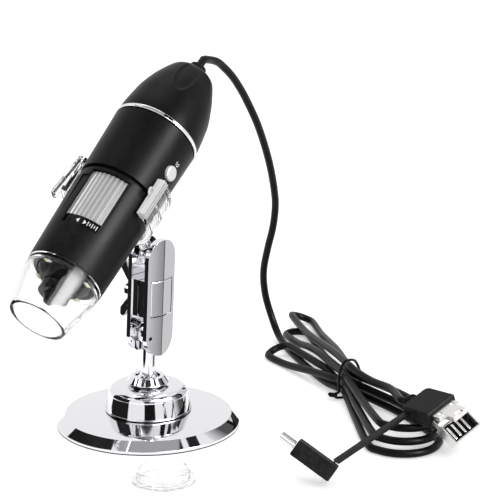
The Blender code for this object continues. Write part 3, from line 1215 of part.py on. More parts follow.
def make_adapter(plug, adapter):
    """Tether strap, adapter body, its metal plug and its port."""
    body = box("adapter_body", (ADAPTER_LENGTH, ADAPTER_WIDTH, ADAPTER_THICKNESS), (ADAPTER_LENGTH / 2, 0.0, 0.0),
               MATTE, ADAPTER_ROUND)
    place(body, parent=adapter)
    port_size = (PORT_DEPTH + OVERRUN, PORT_WIDTH, PORT_THICKNESS)
    port_middle = ADAPTER_LENGTH - PORT_DEPTH / 2 + OVERRUN / 2
    combine(body, place(box("port_cutter", port_size, (port_middle, 0.0, 0.0)), parent=adapter))
    liner = box("adapter_port", (PORT_DEPTH - 2 * GAP, PORT_WIDTH - 2 * GAP, PORT_THICKNESS - 2 * GAP),
                (ADAPTER_LENGTH - PORT_DEPTH / 2 - GAP, 0.0, 0.0), PLUG_METAL)
    place(liner, parent=adapter)
    hollow = box("port_hollow", (PORT_DEPTH, PORT_WIDTH - 4 * GAP, PORT_THICKNESS - 4 * GAP),
                 (ADAPTER_LENGTH - PORT_DEPTH / 2 + 4 * GAP, 0.0, 0.0))
    combine(liner, place(hollow, parent=adapter))

    half = SMALL_PLUG_THICKNESS / 2
    reach = (SMALL_PLUG_WIDTH - SMALL_PLUG_THICKNESS) / 2
    outline = arc(half, -math.pi / 2, math.pi / 2, 6, (reach, 0.0)) + arc(
        half, math.pi / 2, 3 * math.pi / 2, 6, (-reach, 0.0))
    metal = plate("adapter_plug", outline, GAP, SMALL_PLUG_LENGTH, PLUG_METAL)
    bore_half = half - SMALL_PLUG_WALL
    bore = arc(bore_half, -math.pi / 2, math.pi / 2, 6, (reach, 0.0)) + arc(
        bore_half, math.pi / 2, 3 * math.pi / 2, 6, (-reach, 0.0))
    hole = plate("small_plug_bore", bore, SMALL_PLUG_ROOT, SMALL_PLUG_LENGTH + OVERRUN)
    for piece in (metal, hole):
        # The outline's x lies across the adapter and its z runs out of the front
        piece.data.transform(Matrix.Rotation(math.pi / 2, 4, "Z"))
        piece.data.transform(Matrix.Rotation(-math.pi / 2, 4, "Y"))
        place(piece, parent=adapter)
    combine(metal, hole)

    start = plug.matrix_world @ Vector((-STRAP_START_BACK, OVERRUN - PLUG_WIDTH / 2, 0.0))
    end = adapter.matrix_world @ Vector((ADAPTER_LENGTH - STRAP_WIDTH, ADAPTER_ROUND / 2,
                                         ADAPTER_THICKNESS / 2 - OVERRUN))
    run = end - start
    flat = plug.matrix_world.to_3x3() @ Vector((0.0, 0.0, 1.0))
    along = run.normalized()
    across = flat.cross(along).normalized()
    turn = Matrix((along, across, along.cross(across))).transposed().to_4x4()
    strap = box("tether_strap", (run.length, STRAP_WIDTH, STRAP_THICKNESS), finish=MATTE, rounding=STRAP_ROUND,
                segments=1)
    strap.matrix_world = Matrix.Translation((start + end) / 2) @ turn
    # Each end stops short of the piece that it is moulded to
    room = 2 * GAP
    clear_plug = box("strap_end_plug", (PLUG_LENGTH + room, PLUG_WIDTH + room, PLUG_THICKNESS + room),
                     (-PLUG_LENGTH / 2, 0.0, 0.0))
    combine(strap, place(clear_plug, parent=plug))
    clear_adapter = box("strap_end_adapter", (ADAPTER_LENGTH + room, ADAPTER_WIDTH + room,
                                              ADAPTER_THICKNESS + room), (ADAPTER_LENGTH / 2, 0.0, 0.0))
    combine(strap, place(clear_adapter, parent=adapter))


clear_scene()
PARTS = new_collection(OBJECT_NAME)
CUTTERS = new_collection(OBJECT_NAME + "_cutters")
BLACK = material("satin_black_plastic", (0.02, 0.02, 0.022), 0.35)
MATTE = material("matte_black_plastic", (0.02, 0.02, 0.022), 0.6)
RUBBER = material("black_rubber", (0.018, 0.018, 0.018), 0.6)
CORD = material("black_cord_jacket", (0.016, 0.016, 0.017), 0.42)
CHROME = material("bright_chrome", (0.86, 0.87, 0.88), 0.06, 1.0)
STEEL = material("plated_steel", (0.55, 0.55, 0.56), 0.35, 1.0)
PLUG_METAL = material("nickel_shell", (0.75, 0.74, 0.73), 0.28, 1.0)
SILVER = material("silver_paint", (0.62, 0.62, 0.63), 0.32, 0.6)
CLEAR = material("clear_plastic", (0.95, 0.96, 0.97), 0.06, 0.0, 1.0)
GLASS = material("lens_glass", (0.75, 0.82, 0.86), 0.03, 0.0, 1.0)
NYLON = material("white_nylon", (0.8, 0.8, 0.78), 0.5)
BOARD = material("white_board", (0.78, 0.77, 0.72), 0.5)
LAMP = material("lamp_phosphor", (0.85, 0.78, 0.35), 0.35)

NECK_FOOT, SEAT_PLUG_TOP = make_base()
ARM = make_ball_joint(NECK_FOOT, SEAT_PLUG_TOP)
make_arm(ARM)
bpy.context.view_layer.update()
TOP_BALL = ARM.matrix_world @ Vector((0.0, 0.0, ARM_REACH))
BARREL_TURN = (Matrix.Rotation(BARREL_AZIMUTH, 4, "Z") @ Matrix.Rotation(math.pi / 2 - BARREL_ELEVATION, 4, "Y")
               @ Matrix.Rotation(BARREL_ROLL, 4, "Z"))
STEM_END = BARREL_TURN @ Vector((CLIP_OFFSET * math.cos(CLIP_BEARING), CLIP_OFFSET * math.sin(CLIP_BEARING),
                                 CLIP_STATION))
BARREL = empty("barrel_axis", Matrix.Translation(TOP_BALL - STEM_END) @ BARREL_TURN)
make_clip(BARREL, TOP_BALL)
make_nose(BARREL)
make_lens(BARREL)
make_wheel(BARREL)
REAR_BORE, GLAND_LOW, GLAND_TIP = make_shells(BARREL)
make_electronics(BARREL, REAR_BORE, GLAND_LOW)
make_cap()
PLUG = empty("plug_frame", Matrix.Translation(PLUG_PLACE) @ Matrix.Rotation(PLUG_TURN[2], 4, "Z")
             @ Matrix.Rotation(PLUG_TURN[1], 4, "Y") @ Matrix.Rotation(PLUG_TURN[0], 4, "X"))
ADAPTER = empty("adapter_frame", Matrix.Translation(ADAPTER_PLACE) @ Matrix.Rotation(ADAPTER_TURN[2], 4, "Z")
                @ Matrix.Rotation(ADAPTER_TURN[1], 4, "Y") @ Matrix.Rotation(ADAPTER_TURN[0], 4, "X"))
bpy.context.view_layer.update()
make_cord(BARREL, GLAND_TIP, PLUG)
make_plug(PLUG)
make_adapter(PLUG, ADAPTER)
bpy.context.view_layer.update()
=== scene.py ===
"""Dressed model of a hand-held digital microscope clipped to a ball-joint table stand.

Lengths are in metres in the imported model's frame: the origin is the middle of the base's
underside and +Z is up. The barrel's pieces are set out along its axis from the nose end.
"""

import logging
from dataclasses import dataclass, replace
from enum import Enum
from functools import cache
from math import asin, atan2, cos, degrees, exp, hypot, pi, radians, sin, sqrt, tan, tau
from typing import Optional, Sequence, Union

import bmesh
import bpy
from mathutils import Matrix, Vector


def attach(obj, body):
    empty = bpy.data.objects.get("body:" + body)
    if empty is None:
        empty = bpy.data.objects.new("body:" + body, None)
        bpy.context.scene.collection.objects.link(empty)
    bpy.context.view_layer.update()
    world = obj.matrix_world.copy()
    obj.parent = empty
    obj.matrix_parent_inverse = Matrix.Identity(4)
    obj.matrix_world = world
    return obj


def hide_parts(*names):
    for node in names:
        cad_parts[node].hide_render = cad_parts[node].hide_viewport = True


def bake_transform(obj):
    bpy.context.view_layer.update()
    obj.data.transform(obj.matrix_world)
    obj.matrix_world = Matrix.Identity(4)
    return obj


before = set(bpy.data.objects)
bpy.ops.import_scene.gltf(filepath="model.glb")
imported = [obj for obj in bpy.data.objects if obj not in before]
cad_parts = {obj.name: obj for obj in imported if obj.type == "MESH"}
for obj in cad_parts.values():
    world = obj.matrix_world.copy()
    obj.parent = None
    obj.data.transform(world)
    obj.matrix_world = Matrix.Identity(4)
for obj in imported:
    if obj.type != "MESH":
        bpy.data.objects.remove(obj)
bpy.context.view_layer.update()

LOG = logging.getLogger("microscope")
MM = 0.001
TINY = 1e-9
WHITE = (1.0, 1.0, 1.0, 1.0)
Pair = tuple[float, float]
Outline = list[Pair]
Triple = tuple[float, float, float]
Thing = bpy.types.Object
Socket = bpy.types.NodeSocket
Feed = Union[float, tuple, Socket]
Feeds = dict[Union[str, int], Feed]


def turn(angle: float, axis: str) -> Matrix:
    """Return a rotation about a main axis."""
    return Matrix.Rotation(radians(angle), 4, axis)


def mm(*lengths: float) -> tuple[float, ...]:
    """Return lengths given in millimetres."""
    return tuple(length * MM for length in lengths)


def shift(x: float, y: float, z: float) -> Matrix:
    """Return a translation given in millimetres."""
    return Matrix.Translation(mm(x, y, z))


def toward(azimuth: float, elevation: float) -> Vector:
    """Return the direction at an azimuth and an elevation in degrees."""
    around, up = radians(azimuth), radians(elevation)
    return Vector((cos(around) * cos(up), sin(around) * cos(up), sin(up)))


class Place:
    """Frames of the sub-assemblies at rest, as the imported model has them."""

    STEM_STATION = 57.7 * MM
    STEM_REACH = 34.5 * MM
    STEM_BEARING = 138.0
    BUTTON_STATION = 71.5 * MM
    BUTTON_BEARING = 48.0
    UPRIGHT = Matrix.Identity(4)
    TILT = shift(0.0, 0.0, 15.7) @ turn(2.48, "Y")
    ARM = TILT @ shift(0.0, 0.0, 20.2) @ turn(-39.0, "Z")
    ARM_MIDDLE = ARM @ shift(0.0, 0.0, 15.0)
    BOLT = ARM_MIDDLE @ turn(90.0, "Y")
    _TURN = turn(55.48, "Z") @ turn(52.5, "Y") @ turn(-137.55, "Z")
    _STEM = _TURN @ Vector((STEM_REACH * cos(radians(STEM_BEARING)),
                            STEM_REACH * sin(radians(STEM_BEARING)), STEM_STATION))
    TOP_BALL = ARM @ Vector((0.0, 0.0, 30.0 * MM))
    BARREL = Matrix.Translation(TOP_BALL - _STEM) @ _TURN
    PLUG = shift(108.45, -30.8, 16.0) @ turn(-47.83, "Z") @ turn(-2.98, "Y") @ turn(17.56, "X")
    TRAY = PLUG @ shift(1.4, 0.0, -1.15) @ turn(42.5, "Y")
    ADAPTER = shift(54.5, -58.0, 13.0) @ turn(-16.83, "Z") @ turn(32.29, "Y") @ turn(-17.42, "X")
    CAP = shift(8.0, -58.3, 0.0)

    @staticmethod
    def radial(bearing: float, station: float) -> Matrix:
        """Return a frame on the barrel's axis at a bearing, whose z points outward."""
        return (Place.BARREL @ Matrix.Translation((0.0, 0.0, station)) @ turn(bearing, "Z")
                @ turn(90.0, "Y"))

    @staticmethod
    def direction(place: Matrix, x: float, y: float, z: float) -> Vector:
        """Return a direction of a frame as the whole model has it."""
        return (place.to_3x3() @ Vector((x, y, z))).normalized()


class Texture(Enum):
    """Kinds of small relief that a finish may have."""

    POLISHED = "polished"
    MOULDED = "moulded"
    JACKET = "jacket"
    BRUSHED = "brushed"
    CLEAR = "clear"


# ---- finishes


class Wiring:
    """A node tree that is built one fed node at a time."""

    def __init__(self, tree: bpy.types.NodeTree) -> None:
        """Keep the tree."""
        self.tree = tree

    def feed(self, node: bpy.types.Node, feeds: Feeds) -> None:
        """Set or link some inputs of a node.

        Args:
            node: The node.
            feeds: A value to set or a socket to link, for each input.
        """
        for key, source in feeds.items():
            if isinstance(source, Socket):
                self.tree.links.new(source, node.inputs[key])
            else:
                node.inputs[key].default_value = source

    def add(self, kind: str, feeds: Optional[Feeds] = None, **settings: object) -> bpy.types.Node:
        """Add a node to the tree.

        Args:
            kind: The node's type.
            feeds: A value to set or a socket to link, for each input.
            **settings: Settings of the node, made before its inputs are fed.

        Returns:
            The node.
        """
        node = self.tree.nodes.new(kind)
        for name, value in settings.items():
            setattr(node, name, value)
        self.feed(node, feeds or {})
        return node

    def math(self, operation: str, first: Feed, second: Feed = 0.0) -> Socket:
        """Work out one number from two and return it."""
        return self.add("ShaderNodeMath", {0: first, 1: second}, operation=operation).outputs[0]

    def spread(self, value: Feed, start: float, end: float, low: float = 0.0, high: float = 1.0,
               kind: str = "LINEAR") -> Socket:
        """Map a number from one range to another and return it."""
        return self.add("ShaderNodeMapRange", {
            "Value": value, "From Min": start, "From Max": end, "To Min": low, "To Max": high},
            interpolation_type=kind).outputs["Result"]

    def noise(self, where: Feed, scale: Feed, detail: float) -> Socket:
        """Add a noise and return its height."""
        return self.add("ShaderNodeTexNoise", {
            "Vector": where, "Scale": scale, "Detail": detail}).outputs["Fac"]

    def stretch(self, where: Feed, factors: Triple) -> Socket:
        """Stretch coordinates along their axes and return them."""
        return self.add("ShaderNodeVectorMath", {0: where, 1: factors},
                        operation="MULTIPLY").outputs[0]

    def colour(self, share: Feed, first: Feed, second: Feed) -> Socket:
        """Mix two colours and return the result."""
        return self.add("ShaderNodeMix", {"Factor": share, "A": first, "B": second},
                        data_type="RGBA").outputs["Result"]


class Groups:
    """Shader node groups that several finishes share."""

    @staticmethod
    def _start(name: str, numbers: dict[str, float], outputs: Sequence[str]
               ) -> tuple[Wiring, bpy.types.Node, bpy.types.Node]:
        """Make a group with its sockets and nothing between them.

        Args:
            name: The group's name.
            numbers: Defaults of the inputs that follow the Vector input.
            outputs: Names of the outputs.

        Returns:
            The group's wiring, its input node and its output node.
        """
        tree = bpy.data.node_groups.new(name, "ShaderNodeTree")
        tree.interface.new_socket(name="Vector", in_out="INPUT", socket_type="NodeSocketVector")
        for label, value in numbers.items():
            made = tree.interface.new_socket(name=label, in_out="INPUT",
                                             socket_type="NodeSocketFloat")
            made.default_value = value
        for label in outputs:
            tree.interface.new_socket(name=label, in_out="OUTPUT", socket_type="NodeSocketFloat")
        wiring = Wiring(tree)
        return wiring, wiring.add("NodeGroupInput"), wiring.add("NodeGroupOutput")

    @staticmethod
    @cache
    def relief() -> bpy.types.NodeTree:
        """Return the group for fine relief: two sizes of noise mixed into one height."""
        wiring, source, sink = Groups._start(
            "surface_relief", {"Scale": 2500.0, "Coarse Share": 0.3}, ["Height"])
        where, scale = source.outputs["Vector"], source.outputs["Scale"]
        fine = wiring.noise(where, scale, 3.0)
        coarse = wiring.noise(where, wiring.math("MULTIPLY", scale, 0.12), 1.0)
        both = wiring.add("ShaderNodeMix", {
            "Factor": source.outputs["Coarse Share"], "A": fine, "B": coarse})
        wiring.feed(sink, {"Height": both.outputs["Result"]})
        return wiring.tree

    @staticmethod
    @cache
    def handling() -> bpy.types.NodeTree:
        """Return the group for handling marks: smudged roughness and fine hairlines."""
        wiring, source, sink = Groups._start(
            "handling_marks", {"Roughness": 0.3, "Smudge": 0.05, "Hairline": 0.03}, ["Roughness"])
        where = source.outputs["Vector"]
        cloud = wiring.noise(where, 90.0, 4.0)
        lines = wiring.noise(wiring.stretch(where, (300.0, 4200.0, 900.0)), 1.0, 2.0)
        smudge = wiring.math("MULTIPLY", cloud, source.outputs["Smudge"])
        hair = wiring.math("MULTIPLY", wiring.spread(lines, 0.66, 0.78), source.outputs["Hairline"])
        smudged = wiring.math("ADD", source.outputs["Roughness"], smudge)
        wiring.feed(sink, {"Roughness": wiring.math("ADD", smudged, hair)})
        return wiring.tree

    @staticmethod
    @cache
    def edges() -> bpy.types.NodeTree:
        """Return the group for worn edges: a mask that is strongest on outward edges."""
        wiring, source, sink = Groups._start("edge_wear", {"Amount": 0.5}, ["Mask"])
        shape = wiring.add("ShaderNodeNewGeometry")
        outward = wiring.spread(shape.outputs["Pointiness"], 0.52, 0.62)
        patches = wiring.spread(wiring.noise(source.outputs["Vector"], 420.0, 3.0), 0.35, 0.65)
        level = wiring.math("MULTIPLY", wiring.math("MULTIPLY", outward, patches),
                            source.outputs["Amount"])
        wiring.feed(sink, {"Mask": level})
        return wiring.tree


@dataclass(frozen=True)
class Finish:
    """One finish: its colour, gloss, relief and wear."""

    name: str
    colour: Triple
    roughness: float
    texture: Texture
    metallic: float = 0.0
    specular: float = 0.5
    ior: float = 1.5
    transmission: float = 0.0
    coat: float = 0.0
    alpha: float = 1.0
    mottle: float = 0.08
    relief: float = 0.02
    relief_scale: float = 2500.0
    smudge: float = 0.06
    hairline: float = 0.03
    wear: float = 0.3
    worn: Triple = (0.2, 0.2, 0.2)
    # rim: how much painted shade darkens a clear wall's colour where it is seen edge on, 0 for none
    rim: float = 0.0

    COAT_ROUGHNESS = 0.12
    BUMP_STRENGTH = 0.6
    COARSE_SHARE = 0.3
    COARSE_SHARE_CLEAR = 0.75
    GRAIN = (1.0, 1.0, 0.08)
    # Painted edge-on shade: where it starts and ends in facing, and its dark colour
    EDGE_ON_SHADE_START = 0.5
    EDGE_ON_SHADE_END = 0.88
    EDGE_ON_SHADE_COLOUR = (0.10, 0.10, 0.105, 1.0)

    def material(self) -> bpy.types.Material:
        """Return this finish's material, made once."""
        found = bpy.data.materials.get(self.name)
        if found is not None:
            return found
        made = bpy.data.materials.new(self.name)
        made.use_nodes = True
        wiring = Wiring(made.node_tree)
        where = wiring.add("ShaderNodeTexCoord").outputs["Object"]
        marks = wiring.add("ShaderNodeGroup", {
            "Roughness": self.roughness, "Smudge": self.smudge, "Hairline": self.hairline,
            "Vector": where}, node_tree=Groups.handling())
        clear = self.texture is Texture.CLEAR
        relief = wiring.add("ShaderNodeGroup", {
            "Scale": self.relief_scale,
            "Coarse Share": self.COARSE_SHARE_CLEAR if clear else self.COARSE_SHARE,
            "Vector": self._along(wiring, where)}, node_tree=Groups.relief())
        height = relief.outputs["Height"]
        bump = wiring.add("ShaderNodeBump", {
            "Strength": self.BUMP_STRENGTH, "Distance": self.relief * MM, "Height": height})
        wear = wiring.add("ShaderNodeGroup", {"Amount": self.wear, "Vector": where},
                          node_tree=Groups.edges())
        low = tuple(max(c * (1.0 - self.mottle), 0.0) for c in self.colour)
        high = tuple(min(c * (1.0 + self.mottle), 1.0) for c in self.colour)
        tone = wiring.colour(height, (*low, 1.0), (*high, 1.0))
        worn = wiring.colour(wear.outputs["Mask"], tone, (*self.worn, 1.0))
        wiring.feed(made.node_tree.nodes["Principled BSDF"], {
            "Metallic": self.metallic, "Specular IOR Level": self.specular, "IOR": self.ior,
            "Transmission Weight": self.transmission, "Coat Weight": self.coat,
            "Coat Roughness": self.COAT_ROUGHNESS, "Alpha": self.alpha,
            "Roughness": marks.outputs["Roughness"], "Normal": bump.outputs["Normal"],
            "Base Color": self._paint_edge_on_shade(wiring, worn)})
        return made

    def _paint_edge_on_shade(self, wiring: Wiring, colour: Socket) -> Socket:
        """Paint shade into a clear finish's colour where its wall is seen edge on, standing in for
        the dark edges that refraction gives there.

        Args:
            wiring: The material's wiring.
            colour: Socket with the colour so far.

        Returns:
            The socket with the colour.
        """
        if self.rim <= 0.0:
            return colour
        # Painted shade: a dark colour mixed in as the wall turns edge on to the view
        facing = wiring.add("ShaderNodeLayerWeight").outputs["Facing"]
        share = wiring.spread(facing, self.EDGE_ON_SHADE_START, self.EDGE_ON_SHADE_END, 0.0, self.rim)
        return wiring.colour(share, colour, self.EDGE_ON_SHADE_COLOUR)

    def _along(self, wiring: Wiring, where: Socket) -> Socket:
        """Return the relief's coordinates, stretched where the texture runs one way."""
        if self.texture is not Texture.BRUSHED:
            return where
        return wiring.stretch(where, self.GRAIN)


class Finishes:
    """Every finish on the object."""

    CHROME = Finish("bright_chrome", (0.80, 0.80, 0.825), 0.03, Texture.POLISHED, metallic=1.0,
                    mottle=0.015, relief=0.002, relief_scale=700.0, smudge=0.03, hairline=0.02,
                    wear=0.0)
    STEEL = Finish("plated_steel", (0.55, 0.55, 0.56), 0.3, Texture.BRUSHED, metallic=1.0,
                   worn=(0.75, 0.75, 0.75))
    NICKEL = Finish("nickel_shell", (0.72, 0.71, 0.69), 0.2, Texture.BRUSHED, metallic=1.0,
                    mottle=0.05, relief=0.008, relief_scale=1400.0, smudge=0.1, wear=0.25,
                    worn=(0.9, 0.9, 0.88))
    SATIN = Finish("satin_black_plastic", (0.0035, 0.0035, 0.0038), 0.33, Texture.MOULDED,
                   specular=0.085, relief=0.008, relief_scale=3600.0, smudge=0.08, wear=0.2,
                   worn=(0.05, 0.05, 0.052))
    GLOSS = Finish("glossy_black_plastic", (0.003, 0.003, 0.0032), 0.1, Texture.POLISHED,
                   specular=0.14, relief=0.002, wear=0.2, worn=(0.05, 0.05, 0.05))
    MATTE = Finish("matte_black_plastic", (0.0055, 0.0055, 0.006), 0.48, Texture.MOULDED,
                   specular=0.12, relief_scale=2600.0, wear=0.25, worn=(0.05, 0.05, 0.052))
    RUBBER = Finish("black_rubber", (0.006, 0.006, 0.006), 0.6, Texture.MOULDED, specular=0.12,
                    wear=0.15, worn=(0.04, 0.04, 0.04))
    JACKET = Finish("cord_jacket", (0.0035, 0.0035, 0.0038), 0.3, Texture.JACKET, specular=0.11,
                    relief=0.012, relief_scale=1900.0, smudge=0.12, wear=0.0)
    SILVER = Finish("silver_paint", (0.42, 0.42, 0.42), 0.42, Texture.MOULDED, metallic=0.25,
                    mottle=0.05, relief=0.008, relief_scale=4200.0, wear=0.5,
                    worn=(0.85, 0.85, 0.85))
    BUTTON = Finish("silver_button", (0.70, 0.70, 0.70), 0.34, Texture.MOULDED, metallic=0.25,
                    mottle=0.04, relief=0.006, relief_scale=4200.0, worn=(0.9, 0.9, 0.9))
    # The clear and frosted finishes carry rim, painted shade on their edge-on walls
    CLEAR = Finish("clear_plastic", (0.975, 0.975, 0.985), 0.02, Texture.CLEAR, ior=1.36,
                   transmission=1.0, mottle=0.005, relief=0.002, relief_scale=600.0,
                   smudge=0.015, hairline=0.01, wear=0.0, rim=0.5)
    THIN = replace(CLEAR, name="thin_clear_plastic", colour=(0.985, 0.975, 0.98), ior=1.26,
                   alpha=0.72, relief=0.003, rim=0.4)
    FROST = Finish("frosted_plastic", (0.74, 0.74, 0.735), 0.4, Texture.CLEAR, ior=1.35,
                   transmission=0.15, mottle=0.06, relief=0.03, relief_scale=1500.0, wear=0.0,
                   rim=0.35)
    GLASS = Finish("lens_glass", (0.80, 0.86, 0.90), 0.02, Texture.CLEAR, ior=1.52,
                   transmission=1.0, mottle=0.005, relief=0.001, smudge=0.01, hairline=0.0,
                   wear=0.0)
    NYLON = Finish("white_nylon", (0.78, 0.78, 0.76), 0.45, Texture.MOULDED, wear=0.1,
                   worn=(0.85, 0.85, 0.84))
    BOARD = Finish("black_board", (0.012, 0.013, 0.012), 0.35, Texture.MOULDED, specular=0.2,
                   mottle=0.1, wear=0.2, worn=(0.3, 0.27, 0.15))
    CIRCUIT = Finish("circuit_board", (0.03, 0.16, 0.07), 0.35, Texture.MOULDED, mottle=0.15,
                     wear=0.2, worn=(0.5, 0.45, 0.25))
    LAMP = Finish("lamp_phosphor", (0.80, 0.76, 0.36), 0.25, Texture.MOULDED, coat=0.6, wear=0.0)
    MARK = Finish("white_print", (0.82, 0.82, 0.82), 0.4, Texture.MOULDED, mottle=0.03, wear=0.0)


# ---- mesh tools

SHORTEST_SIDE = 1e-7
SLIGHT_BEND = radians(9.0)
SIDE_SHARE = 0.45
FULL_SWEEP = 359.9
SMOOTH_BELOW = 38.0


def in_mm(*points: Pair) -> Outline:
    """Return points given in millimetres."""
    return [mm(x, y) for x, y in points]


def rectangle(half_x: float, half_y: float) -> Outline:
    """Return a rectangle about the origin."""
    return [(-half_x, -half_y), (half_x, -half_y), (half_x, half_y), (-half_x, half_y)]


def rounded(outline: Outline, radius: float | Sequence[float], segments: int = 4) -> Outline:
    """Round the corners of a closed outline, leaving points on the axis.

    Args:
        outline: Points in order.
        radius: Radius of the rounding, or one for each point, made smaller where sides are short.
        segments: Pieces in each rounded corner.

    Returns:
        The rounded outline.
    """
    made: Outline = []
    count = len(outline)
    for i in range(count):
        here = Vector(outline[i])
        back, on = Vector(outline[i - 1]) - here, Vector(outline[(i + 1) % count]) - here
        if here.x <= TINY or min(back.length, on.length) < SHORTEST_SIDE:
            made.append(tuple(here))
            continue
        inside = back.angle(on)
        bend = pi - inside
        if bend < SLIGHT_BEND:
            made.append(tuple(here))
            continue
        wish = radius if isinstance(radius, float) else radius[i]
        reach = min(wish * tan(bend / 2), SIDE_SHARE * back.length, SIDE_SHARE * on.length)
        size = reach / tan(bend / 2)
        centre = here + ((back.normalized() + on.normalized()).normalized()
                         * (size / sin(inside / 2)))
        first = here + back.normalized() * reach - centre
        last = here + on.normalized() * reach - centre
        start = atan2(first.y, first.x)
        sweep = (atan2(last.y, last.x) - start + pi) % tau - pi
        for k in range(segments + 1):
            angle = start + sweep * k / segments
            made.append((centre.x + size * cos(angle), centre.y + size * sin(angle)))
    return made


def arc(radius: float, start: float, end: float, count: int, centre: Pair = (0.0, 0.0)) -> Outline:
    """Return points of an arc, with its angles in degrees."""
    first, last = radians(start), radians(end)
    return [(centre[0] + radius * cos(first + (last - first) * i / count),
             centre[1] + radius * sin(first + (last - first) * i / count))
            for i in range(count + 1)]


def solid(name: str, shape: bmesh.types.BMesh, place: Matrix) -> Thing:
    """Turn a working mesh into an object whose place is in its vertices.

    Args:
        name: The object's name.
        shape: The working mesh, freed here.
        place: Where the shape stands.

    Returns:
        The linked object.
    """
    bmesh.ops.recalc_face_normals(shape, faces=shape.faces)
    mesh = bpy.data.meshes.new(name)
    shape.to_mesh(mesh)
    shape.free()
    mesh.transform(place)
    made = bpy.data.objects.new(name, mesh)
    bpy.context.scene.collection.objects.link(made)
    return made


def soften(shape: bmesh.types.BMesh, edges: Sequence[bmesh.types.BMEdge], radius: float,
           segments: int) -> None:
    """Round some edges of a working mesh, if the radius is above nothing."""
    if radius > 0.0:
        bmesh.ops.bevel(shape, geom=edges, offset=radius, segments=segments, profile=0.5,
                        affect="EDGES", clamp_overlap=True)


def lathe(name: str, outline: Outline, place: Matrix, steps: int = 128, start: float = 0.0,
          sweep: float = 360.0) -> Thing:
    """Turn an outline of radius and height pairs about z.

    Args:
        name: The object's name.
        outline: Closed outline, or one that starts and ends on the axis.
        place: Where the turned piece stands.
        steps: Steps round the sweep.
        start: First angle, in degrees.
        sweep: Angle swept, in degrees.

    Returns:
        The object.
    """
    shape = bmesh.new()
    full = sweep > FULL_SWEEP
    count = steps if full else steps + 1
    rings = []
    for radius, height in outline:
        if radius < TINY:
            rings.append([shape.verts.new((0.0, 0.0, height))] * count)
            continue
        ring = []
        for k in range(count):
            angle = radians(start + sweep * k / steps)
            ring.append(shape.verts.new((radius * cos(angle), radius * sin(angle), height)))
        rings.append(ring)
    closed = outline[0][0] > TINY
    for i in range(len(rings) if closed else len(rings) - 1):
        a, b = rings[i], rings[(i + 1) % len(rings)]
        for k in range(steps):
            n = (k + 1) % count
            corners = list(dict.fromkeys((a[k], a[n], b[n], b[k])))
            if len(corners) > 2:
                shape.faces.new(corners)
    if not full:
        shape.faces.new([ring[0] for ring in rings])
        shape.faces.new([ring[-1] for ring in reversed(rings)])
    return solid(name, shape, place)


def post(name: str, radius: float, low: float, high: float, place: Matrix,
         steps: int = 48) -> Thing:
    """Return a plain cylinder between two heights."""
    return lathe(name, [(0.0, low), (radius, low), (radius, high), (0.0, high)], place, steps)


def block(name: str, size: Triple, centre: Triple,
          place: Matrix, rounding: float = 0.3 * MM, segments: int = 3) -> Thing:
    """Return a box with rounded edges.

    Args:
        name: The object's name.
        size: Its size along x, y and z.
        centre: Its middle.
        place: Frame that the size and middle are given in.
        rounding: Radius of its edges.
        segments: Pieces in each rounded edge.

    Returns:
        The object.
    """
    shape = bmesh.new()
    bmesh.ops.create_cube(shape, size=1.0)
    bmesh.ops.scale(shape, vec=size, verts=shape.verts)
    bmesh.ops.translate(shape, vec=centre, verts=shape.verts)
    soften(shape, shape.edges[:], rounding, segments)
    return solid(name, shape, place)


def prism(name: str, outline: Outline, low: float, high: float, place: Matrix,
          edge: float = 0.2 * MM, segments: int = 3) -> Thing:
    """Extrude a flat outline along z, with rounded rims.

    Args:
        name: The object's name.
        outline: Closed outline in the xy plane.
        low: Lower height.
        high: Upper height.
        place: Where the prism stands.
        edge: Radius of its rims.
        segments: Pieces in each rim.

    Returns:
        The object.
    """
    shape = bmesh.new()
    ring = [shape.verts.new((x, y, low)) for x, y in outline]
    floor = shape.faces.new(ring)
    made = bmesh.ops.extrude_face_region(shape, geom=[floor])
    top = [v for v in made["geom"] if isinstance(v, bmesh.types.BMVert)]
    bmesh.ops.translate(shape, vec=(0.0, 0.0, high - low), verts=top)
    rims = [e for e in shape.edges if abs(e.verts[0].co.z - e.verts[1].co.z) < TINY]
    soften(shape, rims, edge, segments)
    return solid(name, shape, place)


def ball(name: str, radius: float, centre: Vector, steps: int = 48) -> Thing:
    """Return a sphere."""
    shape = bmesh.new()
    bmesh.ops.create_uvsphere(shape, u_segments=steps, v_segments=steps // 2, radius=radius)
    return solid(name, shape, Matrix.Translation(centre))


def pipe(name: str, points: Sequence[Vector], radius: float, sides: int = 16,
         width: Optional[Sequence[float]] = None) -> Thing:
    """Run a round tube along points, without twist.

    Args:
        name: The object's name.
        points: Points of the centreline.
        radius: Radius of the tube.
        sides: Sides round the tube.
        width: Factor on the radius at each point.

    Returns:
        The object, closed at both ends.
    """
    shape = bmesh.new()
    count = len(points)
    heading = (points[1] - points[0]).normalized()
    side = heading.orthogonal().normalized()
    rings = []
    for i, point in enumerate(points):
        ahead = (points[min(i + 1, count - 1)] - points[max(i - 1, 0)]).normalized()
        side = heading.rotation_difference(ahead) @ side
        heading = ahead
        up = heading.cross(side)
        size = radius * (width[i] if width else 1.0)
        rings.append([shape.verts.new(point + (side * cos(tau * k / sides)
                                               + up * sin(tau * k / sides)) * size)
                      for k in range(sides)])
    for a, b in zip(rings, rings[1:]):
        for k in range(sides):
            n = (k + 1) % sides
            shape.faces.new((a[k], a[n], b[n], b[k]))
    shape.faces.new(list(reversed(rings[0])))
    shape.faces.new(rings[-1])
    return solid(name, shape, Place.UPRIGHT)


